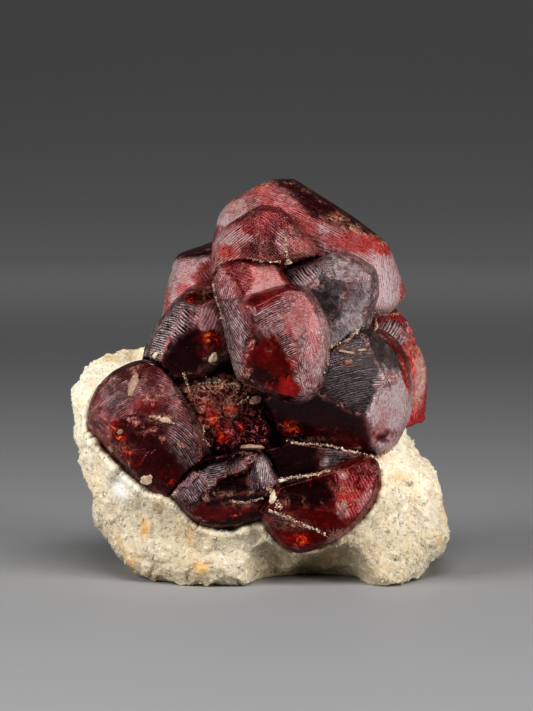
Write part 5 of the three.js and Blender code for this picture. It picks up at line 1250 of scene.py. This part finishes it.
def flake_material(name):
    N = Nodes(name)
    p = N.coords()
    med = N.noise(p, 900, 4, 0.6)
    fine_n = N.noise(p, 2600, 4, 0.65)
    tone = N.attr("tone")
    col = N.ramp(tone, [(0.0, (0.22, 0.07, 0.05)), (0.35, (0.34, 0.21, 0.15)), (0.7, (0.56, 0.44, 0.32)), (1.0, (0.80, 0.70, 0.54))])
    col = N.mix(N.m("MULTIPLY", N.rng(med, 0.52, 0.70), 0.5), col, (0.30, 0.13, 0.09))
    col = N.mix(N.m("MULTIPLY", N.rng(fine_n, 0.52, 0.75), 0.5), col, (0.88, 0.82, 0.72))
    bs = N.n("ShaderNodeBsdfPrincipled")
    N.link(col, bs.inputs["Base Color"])
    N.link(N.m("MULTIPLY_ADD", fine_n, 0.3, 0.35), bs.inputs["Roughness"])
    N.link(N.bump(N.m("ADD", med, fine_n), 0.00012, 0.8), bs.inputs["Normal"])
    bs.inputs["Subsurface Weight"].default_value = 0.15
    bs.inputs["Subsurface Radius"].default_value = (1.0, 0.8, 0.6)
    bs.inputs["Subsurface Scale"].default_value = 0.0006
    N.link(bs.outputs[0], N.out.inputs["Surface"])
    return N.mat


TWEAKS = {  # lift of the red, share of warm glints, added roughness
    "crown": (0.05, 0.0, 0.02), "crown_front": (0.02, 0.0, 0.0), "left_back": (0.05, 0.0, 0.02), "right_back": (0.16, 0.9, 0.10),
    "core": (0.0, 0.7, 0.05), "lower_right": (0.05, 0.45, 0.0), "left": (0.0, 0.15, 0.0), "upper_right": (-0.05, 0.0, 0.04),
}
for i, k in enumerate(ORDER):
    lift, warm, ra = TWEAKS.get(k, (0.0, 0.0, 0.0))
    GARNET_OBS[k].data.materials.append(garnet_material(k + "_garnet", lift, warm, ra, seed=0.013 * i, sheen={"upper_right": (1.0, 0.86, 0.88), "right": (1.0, 0.80, 0.82), "lower_middle": (1.0, 0.60, 0.64), "left": (1.0, 0.30, 0.32), "lower_right": (1.0, 0.26, 0.28), "core": (1.0, 0.30, 0.32)}.get(k, (1.0, 0.44, 0.46))))
rock.data.materials.append(rock_material("sugary_matrix"))
loose = rock_material("matrix_sugar_grains", loose=True)
grain_obs[0].data.materials.append(loose)
bits = flake_material("matrix_flakes")
grain_obs[1].data.materials.append(bits)
flakes.data.materials.append(bits)

# ---------------------------------------------------------------- camera, floor and lights
def vec(a):
    return Vector([float(x) * 0.001 for x in a])


cam = bpy.data.cameras.new("camera")
cam.sensor_width = 36.0
cam.lens = 36.0 * DIST / (711 * S)
cam.clip_start = 0.02; cam.clip_end = 20
co = bpy.data.objects.new("camera", cam)
bpy.context.scene.collection.objects.link(co)
co.location = vec(EYE)
co.rotation_mode = "QUATERNION"
co.rotation_quaternion = (vec(TARGET) - vec(EYE)).to_track_quat("-Z", "Y")
bpy.context.scene.camera = co

# floor that sweeps up behind
bm = bmesh.new()
prof = [(-1.8, 0.0), (0.78, 0.0)]
for i in range(1, 25):
    a = math.pi / 2 * i / 24
    prof.append((0.78 + 0.5 * math.sin(a), 0.5 - 0.5 * math.cos(a)))
prof.append((1.28, 2.2))
rows = [[bm.verts.new((x, y, z - 0.00002)) for x in (-2.6, 2.6)] for (y, z) in prof]
for a, b in zip(rows[:-1], rows[1:]):
    bm.faces.new((a[0], a[1], b[1], b[0]))
me = bpy.data.meshes.new("studio_floor")
bm.to_mesh(me); bm.free()
for f in me.polygons:
    f.use_smooth = True
floor = bpy.data.objects.new("studio_floor", me)
bpy.context.scene.collection.objects.link(floor)
N = Nodes("studio_floor")
bs = N.n("ShaderNodeBsdfPrincipled")
bs.inputs["Base Color"].default_value = (0.37, 0.37, 0.373, 1)
bs.inputs["Roughness"].default_value = 0.62
bs.inputs["Specular IOR Level"].default_value = 0.2
N.link(bs.outputs[0], N.out.inputs["Surface"])
floor.data.materials.append(N.mat)


def area(name, az, el, dist, w, h, power, colour=(1, 1, 1), spread=180, aim=(0, 0, 0.042)):
    """A soft light: az 0 is in front of the piece, +90 to its right."""
    l = bpy.data.lights.new(name, "AREA")
    l.shape = "RECTANGLE"; l.size = w; l.size_y = h; l.energy = power; l.color = colour
    l.spread = math.radians(spread)
    o = bpy.data.objects.new(name, l)
    a, e = math.radians(az), math.radians(el)
    d = Vector((math.sin(a) * math.cos(e), -math.cos(a) * math.cos(e), math.sin(e)))
    o.location = Vector(aim) + d * dist
    o.rotation_mode = "QUATERNION"
    o.rotation_quaternion = (-d).to_track_quat("-Z", "Y")
    bpy.context.scene.collection.objects.link(o)
    return o


area("left_box", -58, 20, 0.55, 0.28, 0.44, 2.15)
area("right_box", 58, 10, 0.60, 0.24, 0.42, 2.8)
area("top_box", 8, 56, 0.70, 0.42, 0.26, 1.95)
# a wide soft wash on the sweep behind the piece; its narrow spread keeps it off the piece
area("sweep_wash", 0, 80, 0.50, 1.6, 0.20, 0.33, spread=68, aim=(0, 0.72, 0.0))

w = bpy.data.worlds.new("studio")
bpy.context.scene.world = w
w.use_nodes = True
w.node_tree.nodes["Background"].inputs["Color"].default_value = (0.30, 0.30, 0.31, 1)
w.node_tree.nodes["Background"].inputs["Strength"].default_value = 0.05
bpy.context.scene.view_settings.view_transform = "Standard"
bpy.context.scene.view_settings.look = "High Contrast"

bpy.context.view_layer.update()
